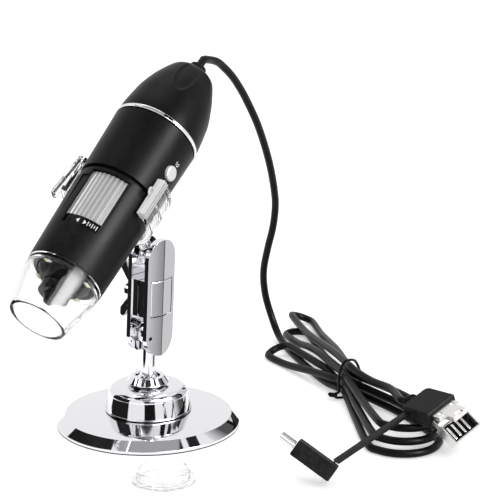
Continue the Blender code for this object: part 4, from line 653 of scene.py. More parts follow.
def join(target: Thing, other: Thing, operation: str = "DIFFERENCE") -> Thing:
    """Cut one shape from another or join it, and keep the result.

    Args:
        target: The object that changes.
        other: The other shape, removed here.
        operation: DIFFERENCE, UNION or INTERSECT.

    Returns:
        The changed object.
    """
    change = target.modifiers.new("change", "BOOLEAN")
    change.operation = operation
    change.solver = "EXACT"
    change.object = other
    bpy.context.view_layer.update()
    graph = bpy.context.evaluated_depsgraph_get()
    mesh = bpy.data.meshes.new_from_object(target.evaluated_get(graph))
    target.modifiers.remove(change)
    old = target.data
    target.data = mesh
    bpy.data.meshes.remove(old)
    bpy.data.objects.remove(other, do_unlink=True)
    return target


def dress(piece: Thing, finish: Finish, body: str, node: Optional[str] = None,
          bevel: float = 0.0, smooth: float = SMOOTH_BELOW) -> Thing:
    """Give a piece its finish, its edges and the body that it moves with.

    Args:
        piece: The object.
        finish: Its finish.
        body: The body that it rides on, or an empty name for a piece left on none.
        node: The solid that it stands for.
        bevel: Width of the rounding put on its sharp edges.
        smooth: Angle above which an edge stays sharp, in degrees.

    Returns:
        The piece.
    """
    piece.data.materials.clear()
    piece.data.materials.append(finish.material())
    piece.data.shade_smooth()
    piece.data.set_sharp_from_angle(angle=radians(smooth))
    if body:
        if bevel > 0.0:
            edge = piece.modifiers.new("edge", "BEVEL")
            edge.width = bevel
            edge.segments = 2
            edge.limit_method = "ANGLE"
            edge.angle_limit = radians(smooth)
        even = piece.modifiers.new("even", "WEIGHTED_NORMAL")
        even.keep_sharp = True
        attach(piece, body)
    if node is not None:
        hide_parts(node)
    LOG.info("%s: %d faces", piece.name, len(piece.data.polygons))
    return piece


def keep(finish: Finish, *nodes: str) -> None:
    """Dress solids that stay as they are."""
    for node in nodes:
        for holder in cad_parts[node].material_slots:
            holder.link = "OBJECT"
            holder.material = finish.material()
        LOG.info("%s: kept", node)


def smooth_step(share: float) -> float:
    """Ease from 0 to 1."""
    share = min(max(share, 0.0), 1.0)
    return share * share * (3.0 - 2.0 * share)


def curve_through(points: Sequence[Vector], step: float) -> list[Vector]:
    """Read evenly spaced points off a smooth curve.

    Args:
        points: Points that the curve passes through.
        step: Distance between the points read off.

    Returns:
        The points, with the first and last kept.
    """
    knots = [Vector(p) for p in points]
    fine: list[Vector] = []
    for i in range(len(knots) - 1):
        a = knots[max(i - 1, 0)]
        b, c = knots[i], knots[i + 1]
        d = knots[min(i + 2, len(knots) - 1)]
        for k in range(12):
            t = k / 12
            fine.append(0.5 * ((2 * b) + (c - a) * t + (2 * a - 5 * b + 4 * c - d) * t * t
                               + (3 * b - a - 3 * c + d) * t ** 3))
    fine.append(knots[-1])
    total = length_of(fine)
    count = max(int(round(total / step)), 2)
    out, gone, i = [fine[0]], 0.0, 0
    for n in range(1, count):
        want = total * n / count
        while gone + (fine[i + 1] - fine[i]).length < want:
            gone += (fine[i + 1] - fine[i]).length
            i += 1
        out.append(fine[i].lerp(fine[i + 1], (want - gone) / (fine[i + 1] - fine[i]).length))
    out.append(fine[-1])
    return out


def length_of(points: Sequence[Vector]) -> float:
    """Return the length of a line through points."""
    return sum((b - a).length for a, b in zip(points, points[1:]))


# ---- stand


@dataclass
class Base:
    """Base plate with its pad, weight and screw, and the ball housing on it."""

    radius: float = 34.5 * MM
    lift: float = 0.35 * MM
    band: float = 1.0 * MM
    bevel_radius: float = 31.5 * MM
    bevel_height: float = 4.6 * MM
    height: float = 6.0 * MM
    flange_radius: float = 16.4 * MM
    flange: float = 0.7 * MM
    drum_foot: float = 16.0 * MM
    drum_top: float = 15.0 * MM
    drum_wall: float = 6.3 * MM
    drum_lift: float = 0.3 * MM
    shoulder: float = 3.0 * MM
    crown: float = 0.3 * MM
    neck_radius: float = 5.8 * MM
    neck_bore: float = 5.25 * MM
    neck: float = 2.1 * MM
    seat_radius: float = 6.9 * MM
    seat_top: float = 15.4 * MM
    wall: float = 0.9 * MM
    screw_bore: float = 1.9 * MM
    rim: float = 1.6 * MM
    well: float = 29.5 * MM
    well_floor: float = 1.9 * MM
    pad_radius: float = 32.5 * MM

    def build(self) -> None:
        """Build and dress the base."""
        self._plate()
        self._housing()
        self._pad()
        keep(Finishes.STEEL, "base_weight", "base_screw", "seat_plug")

    def _plate(self) -> None:
        """Build the cone-topped base plate with its polished bevel."""
        recess, inner = self.radius - self.rim, self.height - self.wall
        outline = rounded([
            (self.screw_bore, self.height), (self.flange_radius, self.height),
            (self.bevel_radius, self.bevel_height), (self.radius, self.lift + self.band),
            (self.radius, self.lift), (recess, self.lift), (recess, self.well_floor),
            (self.well, self.well_floor), (self.well, self.bevel_height - self.wall),
            (self.flange_radius, inner), (self.screw_bore, inner)], 0.22 * MM, 3)
        dress(lathe("base_plate", outline, Place.UPRIGHT, 256), Finishes.CHROME, "stand_base",
              "base_shell")

    def _pad(self) -> None:
        """Build the rubber pad, with a black bead out under the rim that is painted shadow for the
        dark line beneath the plate's edge.
        """
        # The bead reaching out to the rim is painted shadow: a black ring standing in for the shade
        # in the gap under the plate.
        outline = [(0.0, 0.0), (self.radius - 0.25 * MM, 0.0),
                   (self.radius - 0.03 * MM, 0.12 * MM), (self.radius - 0.05 * MM, 0.32 * MM),
                   (self.pad_radius, 0.33 * MM), (self.pad_radius, 1.5 * MM), (0.0, 1.55 * MM)]
        dress(lathe("pad", outline, Place.UPRIGHT, 192), Finishes.RUBBER, "stand_base", "foot_pad")

    def _housing(self) -> None:
        """Build the drum that holds the lower ball."""
        low = self.height + self.drum_lift
        wall_top = low + self.drum_wall
        foot = wall_top + self.shoulder + self.crown
        curve = [(self.drum_top - self.shoulder + self.shoulder * sin(a),
                  wall_top + self.shoulder * cos(a)) for a in (pi * i / 40 for i in range(21))]
        flange = rounded([(self.drum_foot, low + self.flange),
                          (self.flange_radius, low + self.flange), (self.flange_radius, low),
                          (self.seat_radius, low)], 0.12 * MM, 2)[1:]
        outline = [(self.neck_bore, foot + self.neck), (self.neck_radius, foot + self.neck),
                   (self.neck_radius, foot)] + curve + flange + [
                       (self.seat_radius, self.seat_top), (self.neck_bore, self.seat_top)]
        dress(lathe("ball_drum", outline, Place.UPRIGHT, 192), Finishes.CHROME, "stand_base",
              "ball_housing")


@dataclass
class BallJoint:
    """Locking collar, seat and the rod with a ball at each end."""

    collar_low: float = 16.2 * MM
    collar_height: float = 3.3 * MM
    collar_radius: float = 8.05 * MM
    collar_foot: float = 7.0 * MM
    collar_top: float = 6.3 * MM
    collar_hole: float = 4.6 * MM
    collar_bore: float = 6.1 * MM
    collar_roof: float = 1.15 * MM
    collar_bevel: float = 0.75 * MM
    lower_ball: float = 4.9 * MM
    upper_ball: float = 4.6 * MM
    rod_radius: float = 2.6 * MM
    reach: float = 20.2 * MM
    steps: int = 24

    def build(self) -> None:
        """Build and dress the joint."""
        low = self.collar_low
        high = low + self.collar_height
        roof = high - self.collar_roof
        outline = rounded([
            (self.collar_hole, high), (self.collar_top, high),
            (self.collar_radius, low + self.collar_bevel), (self.collar_foot, low),
            (self.collar_bore, low), (self.collar_bore, roof), (self.collar_hole, roof)],
            0.35 * MM, 5)
        dress(lathe("collar", outline, Place.UPRIGHT, 128), Finishes.CHROME, "collar",
              "locking_collar")
        keep(Finishes.NYLON, "lower_ball_seat")
        lower = pi - asin(self.rod_radius / self.lower_ball)
        upper = pi - asin(self.rod_radius / self.upper_ball)
        points: Outline = []
        for i in range(self.steps + 1):
            angle = pi - lower * i / self.steps
            points.append((self.lower_ball * sin(angle), self.lower_ball * cos(angle)))
        for i in range(self.steps + 1):
            angle = upper - upper * i / self.steps
            points.append((self.upper_ball * sin(angle), self.reach + self.upper_ball * cos(angle)))
        points[0], points[-1] = (0.0, points[0][1]), (0.0, points[-1][1])
        dress(lathe("rod_and_balls", points, Place.TILT, 96), Finishes.CHROME, "rod", "stand_rod")


@dataclass
class ClampArm:
    """Two-part clamp arm with its cover plate, bolt, washer and wing nut."""

    reach: float = 30.0 * MM
    half_width: float = 7.4 * MM
    slot_half: float = 3.1 * MM
    edge_half: float = 5.0 * MM
    ridge_half: float = 6.2 * MM
    ridge_round: float = 1.7 * MM
    margin: float = 2.0 * MM
    gap_half: float = 0.3 * MM
    pocket: float = 4.9 * MM
    bolt_bore: float = 2.3 * MM
    panel_width: float = 11.8 * MM
    panel_height: float = 14.0 * MM
    panel_floor: float = 4.1 * MM
    panel_top: float = 9.0 * MM
    panel_gap: float = 0.3 * MM
    cover_half: float = 9.0 * MM
    spot: float = 4.9 * MM
    mark_drop: float = 5.4 * MM
    hub_radius: float = 3.5 * MM
    hub_top: float = -6.2 * MM
    hub_length: float = 4.2 * MM
    wing_span: float = 11.3 * MM
    wing_flare: float = 8.4 * MM
    wing_thickness: float = 2.0 * MM

    WING = ((0.0, 0.06), (0.22, 0.155), (0.575, 0.39), (0.90, 0.62), (0.98, 0.71), (1.0, 0.83),
            (0.97, 0.95), (0.90, 1.0), (0.68, 0.99), (0.41, 0.71), (0.22, 0.5), (0.0, 0.47))

    def build(self) -> None:
        """Build and dress the arm."""
        right = self._shell("arm_right", 1.0)
        panel = rounded(rectangle(self.panel_height / 2, self.panel_width / 2), 1.1 * MM, 5)
        join(right, prism("panel", panel, self.panel_floor, self.panel_top, Place.BOLT, 0.0))
        corner = Place.ARM @ Matrix.Translation((0.0, -self.mark_drop, 0.0)) @ turn(90.0, "Y")
        join(right, post("mark", 0.8 * MM, 4.4 * MM, 8.0 * MM, corner, 24))
        dress(right, Finishes.CHROME, "arm", "arm_shell_right", 0.26 * MM, 28.0)
        dot = in_mm((0.0, 4.4), (0.74, 4.4), (0.74, 4.9), (0.0, 4.95))
        dress(lathe("mark_dot", dot, corner, 24), Finishes.RUBBER, "arm")
        left = self._shell("arm_left", -1.0)
        join(left, post("spot", self.spot, -9.0 * MM, -5.0 * MM, Place.BOLT))
        dress(left, Finishes.CHROME, "arm", "arm_shell_left", 0.26 * MM, 28.0)
        self._cover()
        keep(Finishes.STEEL, "lock_washer")
        bolt = rounded(in_mm((0.0, 4.1), (3.6, 4.1), (3.6, 3.1), (2.0, 3.1), (2.0, -12.0),
                             (0.0, -12.0)), 0.3 * MM, 3)
        dress(lathe("bolt", bolt, Place.BOLT, 48), Finishes.STEEL, "arm", "clamp_bolt")
        self._wing_nut()

    def _roof(self, name: str, section: tuple[float, float, float, float],
              ends: Pair, place: Matrix) -> Thing:
        """Return a bar whose outer side rises to a rounded ridge.

        Args:
            name: The object's name.
            section: Places of its back, its edges and its ridge, and half its width.
            ends: Heights that it runs between.
            place: Where it stands.

        Returns:
            The bar.
        """
        back, edge, ridge, half = section
        outline = [(back, -half), (edge, -half), (ridge, 0.0), (edge, half), (back, half)]
        crisp = 0.1 * MM
        return prism(name, rounded(outline, [crisp, crisp, self.ridge_round, crisp, crisp], 6),
                     *ends, place, 0.0)

    def _shell(self, name: str, side: float) -> Thing:
        """Return one half of the arm: a roofed capsule, a block behind it and two ball pockets.

        Args:
            name: The piece's name.
            side: 1 for the half with the cover plate, -1 for the other.

        Returns:
            The shaped piece, not yet dressed.
        """
        flank = self.half_width + self.margin
        flank_half = self.ridge_half - (self.ridge_half - self.edge_half) * flank / self.half_width
        body = self._roof(name, (side * self.slot_half, side * flank_half, side * self.ridge_half,
                                 flank), (-flank, self.reach + flank), Place.ARM)
        outline = arc(self.half_width, 90.0, 270.0, 48) + arc(
            self.half_width, -90.0, 90.0, 48, (self.reach, 0.0))
        join(body, prism("capsule", [(-x, y) for x, y in outline], -flank, flank,
                         Place.ARM @ turn(90.0, "Y"), 0.0), "INTERSECT")
        depth = self.slot_half - self.gap_half + 0.5 * MM
        inner = block("inner", (depth, 2 * (self.half_width - 0.5 * MM), self.reach - 16.0 * MM),
                      (side * (self.gap_half + depth / 2), 0.0, self.reach / 2), Place.ARM, 0.0)
        join(body, inner, "UNION")
        for height in (0.0, self.reach):
            join(body, ball("pocket", self.pocket, Place.ARM @ Vector((0.0, 0.0, height)), 40))
        return join(body, post("hole", self.bolt_bore, -9.0 * MM, 9.0 * MM,
                               Place.BOLT @ turn(3.75, "Z"), 24))

    def _cover(self) -> None:
        """Build the roofed cover plate that lies in the right half's recess."""
        half_w = self.panel_width / 2 - self.panel_gap
        half_h = self.panel_height / 2 - self.panel_gap
        low, span = self.panel_floor + self.panel_gap, self.cover_half
        plate = prism("cover_plate", rounded(rectangle(half_h, half_w), 0.9 * MM, 5), low,
                      self.panel_top, Place.BOLT, 0.0)
        fall = (self.ridge_half - self.edge_half) / self.half_width
        top = self.ridge_half - 0.05 * MM
        join(plate, self._roof("roof", (low - 2.0 * MM, top - fall * span, top, span),
                               (-span, span), Place.ARM_MIDDLE), "INTERSECT")
        dress(plate, Finishes.CHROME, "arm", "arm_cover_plate", 0.2 * MM, 28.0)

    def _wing_nut(self) -> None:
        """Build the wing nut: a hub with two swept wings."""
        top, foot = self.hub_top, self.hub_top - self.hub_length
        hub = lathe("wing_nut_body", rounded([
            (self.bolt_bore, top), (self.hub_radius, top), (self.hub_radius, foot),
            (self.bolt_bore, foot)], 0.35 * MM, 4), Place.BOLT, 64)
        half = [(self.wing_span * a, top - self.wing_flare * b) for a, b in self.WING]
        outline = rounded(half + [(-x, y) for x, y in reversed(half[1:-1])], 1.2 * MM, 3)
        join(hub, prism("wings", outline, -self.wing_thickness / 2, self.wing_thickness / 2,
                        Place.BOLT @ turn(90.0, "X"), 0.45 * MM, 3), "UNION")
        join(hub, post("bore", self.bolt_bore, -30.0 * MM, 0.0, Place.BOLT))
        dress(hub, Finishes.CHROME, "wing_nut", "wing_nut")


# ---- clip


@dataclass
class Clip:
    """Clear clip: band with three hoops, frosted ribbed bar, tab, stem and ball."""

    inner: float = 16.25 * MM
    outer: float = 18.4 * MM
    length: float = 16.0 * MM
    rib: float = 1.9 * MM
    rib_depth: float = 0.7 * MM
    start: float = 33.5
    sweep: float = 226.5
    tab: Triple = mm(1.9, 4.2, 18.5)
    tab_lean: float = -6.0
    ball_radius: float = 4.6 * MM
    stem: float = 2.3 * MM
    stem_steps: int = 24
    bar: float = 3.3 * MM
    bar_height: float = 3.2 * MM
    bar_lift: float = -0.6 * MM
    bar_gap: float = 0.3
    ridges: int = 3
    groove: float = 1.3 * MM
    hook_wire: float = 0.42 * MM
    hook_half: float = 1.55 * MM
    hook_reach: float = 2.7 * MM

    def build(self) -> None:
        """Build and dress the clip."""
        middle = Place.STEM_STATION
        low, high = middle - self.length / 2, middle + self.length / 2
        valley = self.outer - self.rib_depth
        bar_turn = degrees(self.bar / self.outer)
        points: Outline = []
        for top, foot in ((high, high - self.rib), (middle + self.rib / 2, middle - self.rib / 2),
                          (low + self.rib, low)):
            points += [(valley, top), (self.outer, top), (self.outer, foot), (valley, foot)]
        outline = rounded(points[1:-1] + [(self.inner, low), (self.inner, high)], 0.3 * MM, 3)
        band = lathe("clip_band", outline, Place.BARREL, 96, self.start + bar_turn + self.bar_gap,
                     self.sweep - bar_turn - self.bar_gap)
        thick, wide, long = self.tab
        root = self.start + self.sweep - degrees(wide / self.outer)
        tab = block("tab", self.tab, (0.0, 0.0, -long / 2), Place.BARREL @ turn(root, "Z")
                    @ Matrix.Translation((self.inner + thick, wide / 2, high))
                    @ turn(self.tab_lean, "Y"), 0.5 * MM, 3)
        join(band, tab, "UNION")
        join(band, self._stem(), "UNION")
        dress(band, Finishes.CLEAR, "clip", "barrel_clip", smooth=50.0)
        self._bar()

    def _stem(self) -> Thing:
        """Return the stem with its ball."""
        root = (self.inner + self.outer) / 2
        foot = asin(self.stem / self.ball_radius)
        points = [(0.0, root), (4.2 * MM, root), (4.2 * MM, self.outer),
                  (3.1 * MM, self.outer + 1.8 * MM), (2.5 * MM, self.outer + 3.6 * MM),
                  (self.stem, self.outer + 5.0 * MM)]
        for i in range(self.stem_steps):
            angle = foot + (pi - foot) * i / self.stem_steps
            points.append((self.ball_radius * sin(angle),
                           Place.STEM_REACH - self.ball_radius * cos(angle)))
        points.append((0.0, Place.STEM_REACH + self.ball_radius))
        return lathe("stem", points, Place.radial(Place.STEM_BEARING, Place.STEM_STATION), 48)

    def _bar(self) -> None:
        """Build the frosted bar with its ridges and the small hook beside it."""
        place = (Place.BARREL @ turn(self.start + degrees(self.bar / self.outer), "Z")
                 @ Matrix.Translation((0.0, 0.0, Place.STEM_STATION + self.bar_lift)))
        low = self.inner + 0.3 * MM
        high = low + self.bar_height
        floor = high - self.groove
        profile = [(low, 0.0)]
        pitch = self.bar / self.ridges
        for i in range(self.ridges):
            side = -pitch * i
            profile += [(floor, side), (high, side - 0.2 * pitch), (high, side - 0.58 * pitch),
                        (floor, side - 0.76 * pitch)]
        profile += [(floor, -self.bar), (low, -self.bar)]
        bar = prism("clip_bar", rounded(profile, 0.12 * MM, 3), -self.length / 2, self.length / 2,
                    place, 0.25 * MM)
        dress(bar, Finishes.FROST, "clip", "barrel_clip", smooth=60.0)
        middle = place @ Vector((self.inner + 1.4 * MM, -self.bar, 1.5 * MM))
        along = Place.direction(place, 0.0, 0.0, 1.0)
        out = Place.direction(place, 0.25, -1.0, 0.0)
        points = [middle + along * (self.hook_half * cos(a))
                  + out * (self.hook_reach * sin(a) - 0.4 * MM)
                  for a in (pi * i / 24 for i in range(25))]
        dress(pipe("clip_hook", points, self.hook_wire, 14), Finishes.FROST, "clip", "barrel_clip")


# ---- barrel


@dataclass
class Barrel:
    """Black barrel: front shell, rear tube, chrome ring, dome and cord gland."""

    start: float = 19.8 * MM
    start_radius: float = 14.67 * MM
    taper: float = 0.0275
    shell_end: float = 58.3 * MM
    step_length: float = 2.6 * MM
    step_depth: float = 0.4 * MM
    seat: float = 13.65 * MM
    seat_end: float = 24.1 * MM
    throat: float = 11.9 * MM
    pocket: float = 14.5 * MM
    cutter: float = 19.0 * MM
    rear_start: float = 59.5 * MM
    rear_end: float = 86.1 * MM
    rear_wall: float = 1.4 * MM
    spigot: float = 14.1 * MM
    spigot_bore: float = 12.9 * MM
    ring_length: float = 1.4 * MM
    ring_proud: float = 0.4 * MM
    dome_length: float = 31.0 * MM
    window: Pair = (33.2 * MM, 57.2 * MM)
    window_sides: Pair = (-52.0, 8.0)
    rail_side: float = -66.0
    rail_end: float = 54.5 * MM
    rail_floor: float = 15.15 * MM
    button_hole: float = 3.15 * MM
    cord_bore: float = 3.8 * MM
    flat_reach: float = 3.9 * MM
    flat_middle: float = 21.5 * MM
    flat_half: float = 9.6 * MM
    flat_rise: float = 1.3 * MM
    flat_depth: float = 0.62 * MM
    flat_ease: float = 0.30 * MM

    NOTCHES = (-14.0, -9.0, 10.0, 27.0)
    FLATS = (-9.0, 81.0, 171.0, 261.0)
    DOME = ((0.0, 1.0), (0.12, 0.988), (0.32, 0.938), (0.45, 0.893), (0.62, 0.794), (0.75, 0.69),
            (0.868, 0.578), (0.92, 0.508), (0.957, 0.42), (0.985, 0.33), (1.0, 0.262))

    def radius(self, station: float) -> float:
        """Return the outer radius at a station."""
        return self.start_radius + self.taper * (station - self.start)

    def build(self) -> None:
        """Build and dress the barrel."""
        self._front()
        self._rear()
        self._ring()
        self._dome()
        self._gland()
        self._marks()
        keep(Finishes.SATIN, "chassis_tube")
        keep(Finishes.CIRCUIT, "sensor_board", "main_board")
        keep(Finishes.GLASS, "image_sensor")
        keep(Finishes.MATTE, "controller_chip")
        keep(Finishes.STEEL, "tact_switch", "button_spring")
        keep(Finishes.RUBBER, "lead_wires")

    def _front(self) -> None:
        """Build the front shell with its window, rail and stepped lip, and a black strip of painted
        shadow along the window's right edge.
        """
        step, lip = self.shell_end - self.step_length, self.window[0] - 0.3 * MM
        outline = rounded([
            (self.radius(self.shell_end) - self.step_depth, self.shell_end),
            (self.radius(step) - self.step_depth, step), (self.radius(step), step),
            (self.radius(self.start), self.start), (self.seat, self.start),
            (self.seat, self.seat_end), (self.throat, self.seat_end), (self.throat, lip),
            (self.pocket, lip), (self.pocket, self.shell_end)], 0.16 * MM, 2)
        shell = lathe("front_shell_skin", outline, Place.BARREL, 192)
        opening = self._sector(13.5 * MM, self.cutter, *self.window_sides)
        join(shell, prism("window", rounded(opening, 0.5 * MM, 3), *self.window, Place.BARREL, 0.0))
        rail = self._sector(self.rail_floor, self.cutter, self.rail_side,
                            self.window_sides[0] + 0.2)
        join(shell, prism("rail", rail, self.window[0], self.rail_end, Place.BARREL, 0.0))
        for bearing in self.NOTCHES:
            join(shell, block("notch", mm(1.0, 0.45, 1.5),
                              mm(15.55, 0.0, 57.6), Place.BARREL @ turn(bearing, "Z"), 0.0))
        dress(shell, Finishes.SATIN, "barrel", "front_shell", smooth=30.0)
        # Painted shadow: a black rubber strip inside the window's edge stands in for the shaded gap
        # between the wheel and the shell.
        strip = self._sector(14.36 * MM, 14.7 * MM, self.window_sides[1] - 3.2,
                             self.window_sides[1] + 0.4)
        dress(prism("window_shadow_strip", strip, self.window[0] + 0.2 * MM, self.window[1] - 0.2 * MM,
                    Place.BARREL, 0.0), Finishes.RUBBER, "barrel", "front_shell", smooth=30.0)

    @staticmethod
    def _sector(inner: float, outer: float, start: float, end: float) -> Outline:
        """Return the outline of a ring's sector."""
        return arc(outer, start, end, 14) + list(reversed(arc(inner, start, end, 14)))

    def _rear(self) -> None:
        """Build the rear tube with the button's hole."""
        bore = self.radius(self.rear_start) - self.rear_wall
        floor = self.rear_start + self.rear_wall
        neck_low = self.shell_end - 0.6 * MM
        outline = rounded([
            (self.radius(self.rear_end), self.rear_end),
            (self.radius(self.rear_start), self.rear_start), (self.spigot, self.rear_start),
            (self.spigot, neck_low), (self.spigot_bore, neck_low), (self.spigot_bore, floor),
            (bore, floor), (bore, self.rear_end)], 0.16 * MM, 2)
        tube = lathe("rear_tube_skin", outline, Place.BARREL, 192)
        join(tube, post("hole", self.button_hole, 11.0 * MM, self.cutter,
                        Place.radial(Place.BUTTON_BEARING, Place.BUTTON_STATION)))
        dress(tube, Finishes.SATIN, "barrel", "rear_tube", smooth=30.0)

    def _ring(self) -> None:
        """Build the chrome ring."""
        low = self.rear_end + 0.3 * MM
        high = low + self.ring_length
        radius = self.radius(self.rear_end) + self.ring_proud
        inner = self.radius(self.rear_start) - self.rear_wall
        outline = rounded([(radius, high), (radius, low), (inner, low), (inner, high)],
                          0.25 * MM, 4)
        dress(lathe("ring", outline, Place.BARREL, 256), Finishes.CHROME, "barrel", "trim_ring")

    def _dome(self) -> None:
        """Build the dome with its four shallow flats."""
        low = self.rear_end + self.ring_length + 0.6 * MM
        end = low + self.dome_length
        full = self.radius(self.rear_end)
        knots = [Vector((full * r, low + self.dome_length * z, 0.0)) for z, r in self.DOME]
        outer = [(p.x, p.y) for p in curve_through(knots, 0.45 * MM)]
        spigot = self.radius(self.rear_start) - 1.7 * MM
        bore = spigot - 1.8 * MM
        outline = list(reversed(outer)) + [
            (spigot, low), (spigot, low - 6.0 * MM), (bore, low - 6.0 * MM), (bore, low),
            (13.0 * MM, low + 10.0 * MM), (5.0 * MM, end - 1.8 * MM),
            (self.cord_bore, end - 1.8 * MM)]
        outline[0] = (self.cord_bore, end)
        dome = lathe("dome", outline, Place.UPRIGHT, 288)
        for vertex in dome.data.vertices:
            x, y, z = vertex.co
            radial = hypot(x, y)
            if (z <= low + 2.0 * MM or radial < self.flat_reach
                    or radial < self._skin(outer, z) - 0.05 * MM):
                continue
            sink = self._sink(degrees(atan2(y, x)), radial, z - low)
            if sink > 0.0:
                vertex.co = (x * (radial - sink) / radial, y * (radial - sink) / radial, z)
        dome.data.transform(Place.BARREL)
        dress(dome, Finishes.SATIN, "barrel", "rear_dome", smooth=60.0)

    def _sink(self, bearing: float, radial: float, height: float) -> float:
        """Return how deep the nearest flat lies below the dome's round skin.

        Args:
            bearing: Bearing of the point, in degrees.
            radial: Its distance from the axis.
            height: Its height above the dome's foot.

        Returns:
            The depth.
        """
        sink = 0.0
        for middle in self.FLATS:
            swing = (bearing - middle + 180.0) % 360.0 - 180.0
            across = radians(swing) * radial / self.flat_reach
            along = (height - self.flat_middle) / self.flat_half
            sink = max(sink, self.flat_rise * (1.0 - across * across - along * along))
        return self.flat_depth * (1.0 - exp(-sink / self.flat_ease))

    @staticmethod
    def _skin(outer: Outline, height: float) -> float:
        """Return the radius of a profile at a height."""
        for (r0, z0), (r1, z1) in zip(outer, outer[1:]):
            if z0 <= height <= z1:
                return r0 + (r1 - r0) * (height - z0) / max(z1 - z0, TINY)
        return outer[-1][0]

    def _gland(self) -> None:
        """Build the ribbed gland that the cord leaves through."""
        end = self.rear_end + self.ring_length + 0.6 * MM + self.dome_length
        tip = end + 3.5 * MM
        outline = [(0.0, tip), (1.62 * MM, tip), (1.95 * MM, tip - 0.2 * MM)]
        low, pitch = end + 0.3 * MM, 1.2 * MM
        for i in range(2):
            high = tip - 0.7 * MM - 1.25 * MM * i
            radius = 2.9 * MM + 0.3 * MM * (i + 1)
            for inset, drop in ((0.5, 0.0), (0.12, 0.1), (0.0, 0.3), (0.0, 0.65), (0.12, 0.82),
                                (0.4, 0.9)):
                outline.append((radius - inset * MM, high - drop * pitch))
        outline += [(3.2 * MM, low), (3.2 * MM, end - 2.1 * MM), (4.7 * MM, end - 2.1 * MM),
                    (4.7 * MM, end - 3.5 * MM), (0.0, end - 3.5 * MM)]
        dress(lathe("gland", outline, Place.BARREL, 64), Finishes.RUBBER, "barrel", "cord_gland",
              smooth=50.0)

    def _marks(self) -> None:
        """Print a plain ring and dot beside the button."""
        outer = self.radius(75.9 * MM) + 0.02 * MM
        deep, top = outer - 0.2 * MM, outer + 0.02 * MM
        place = Place.radial(Place.BUTTON_BEARING + 2.0, 76.4 * MM)
        ring = [(1.05 * MM, outer), (0.75 * MM, outer), (0.75 * MM, deep), (1.05 * MM, deep)]
        dress(lathe("button_mark_ring", ring, place, 48), Finishes.MARK, "barrel")
        dress(post("button_mark_dot", 0.3 * MM, top, deep, place, 24), Finishes.MARK, "barrel")


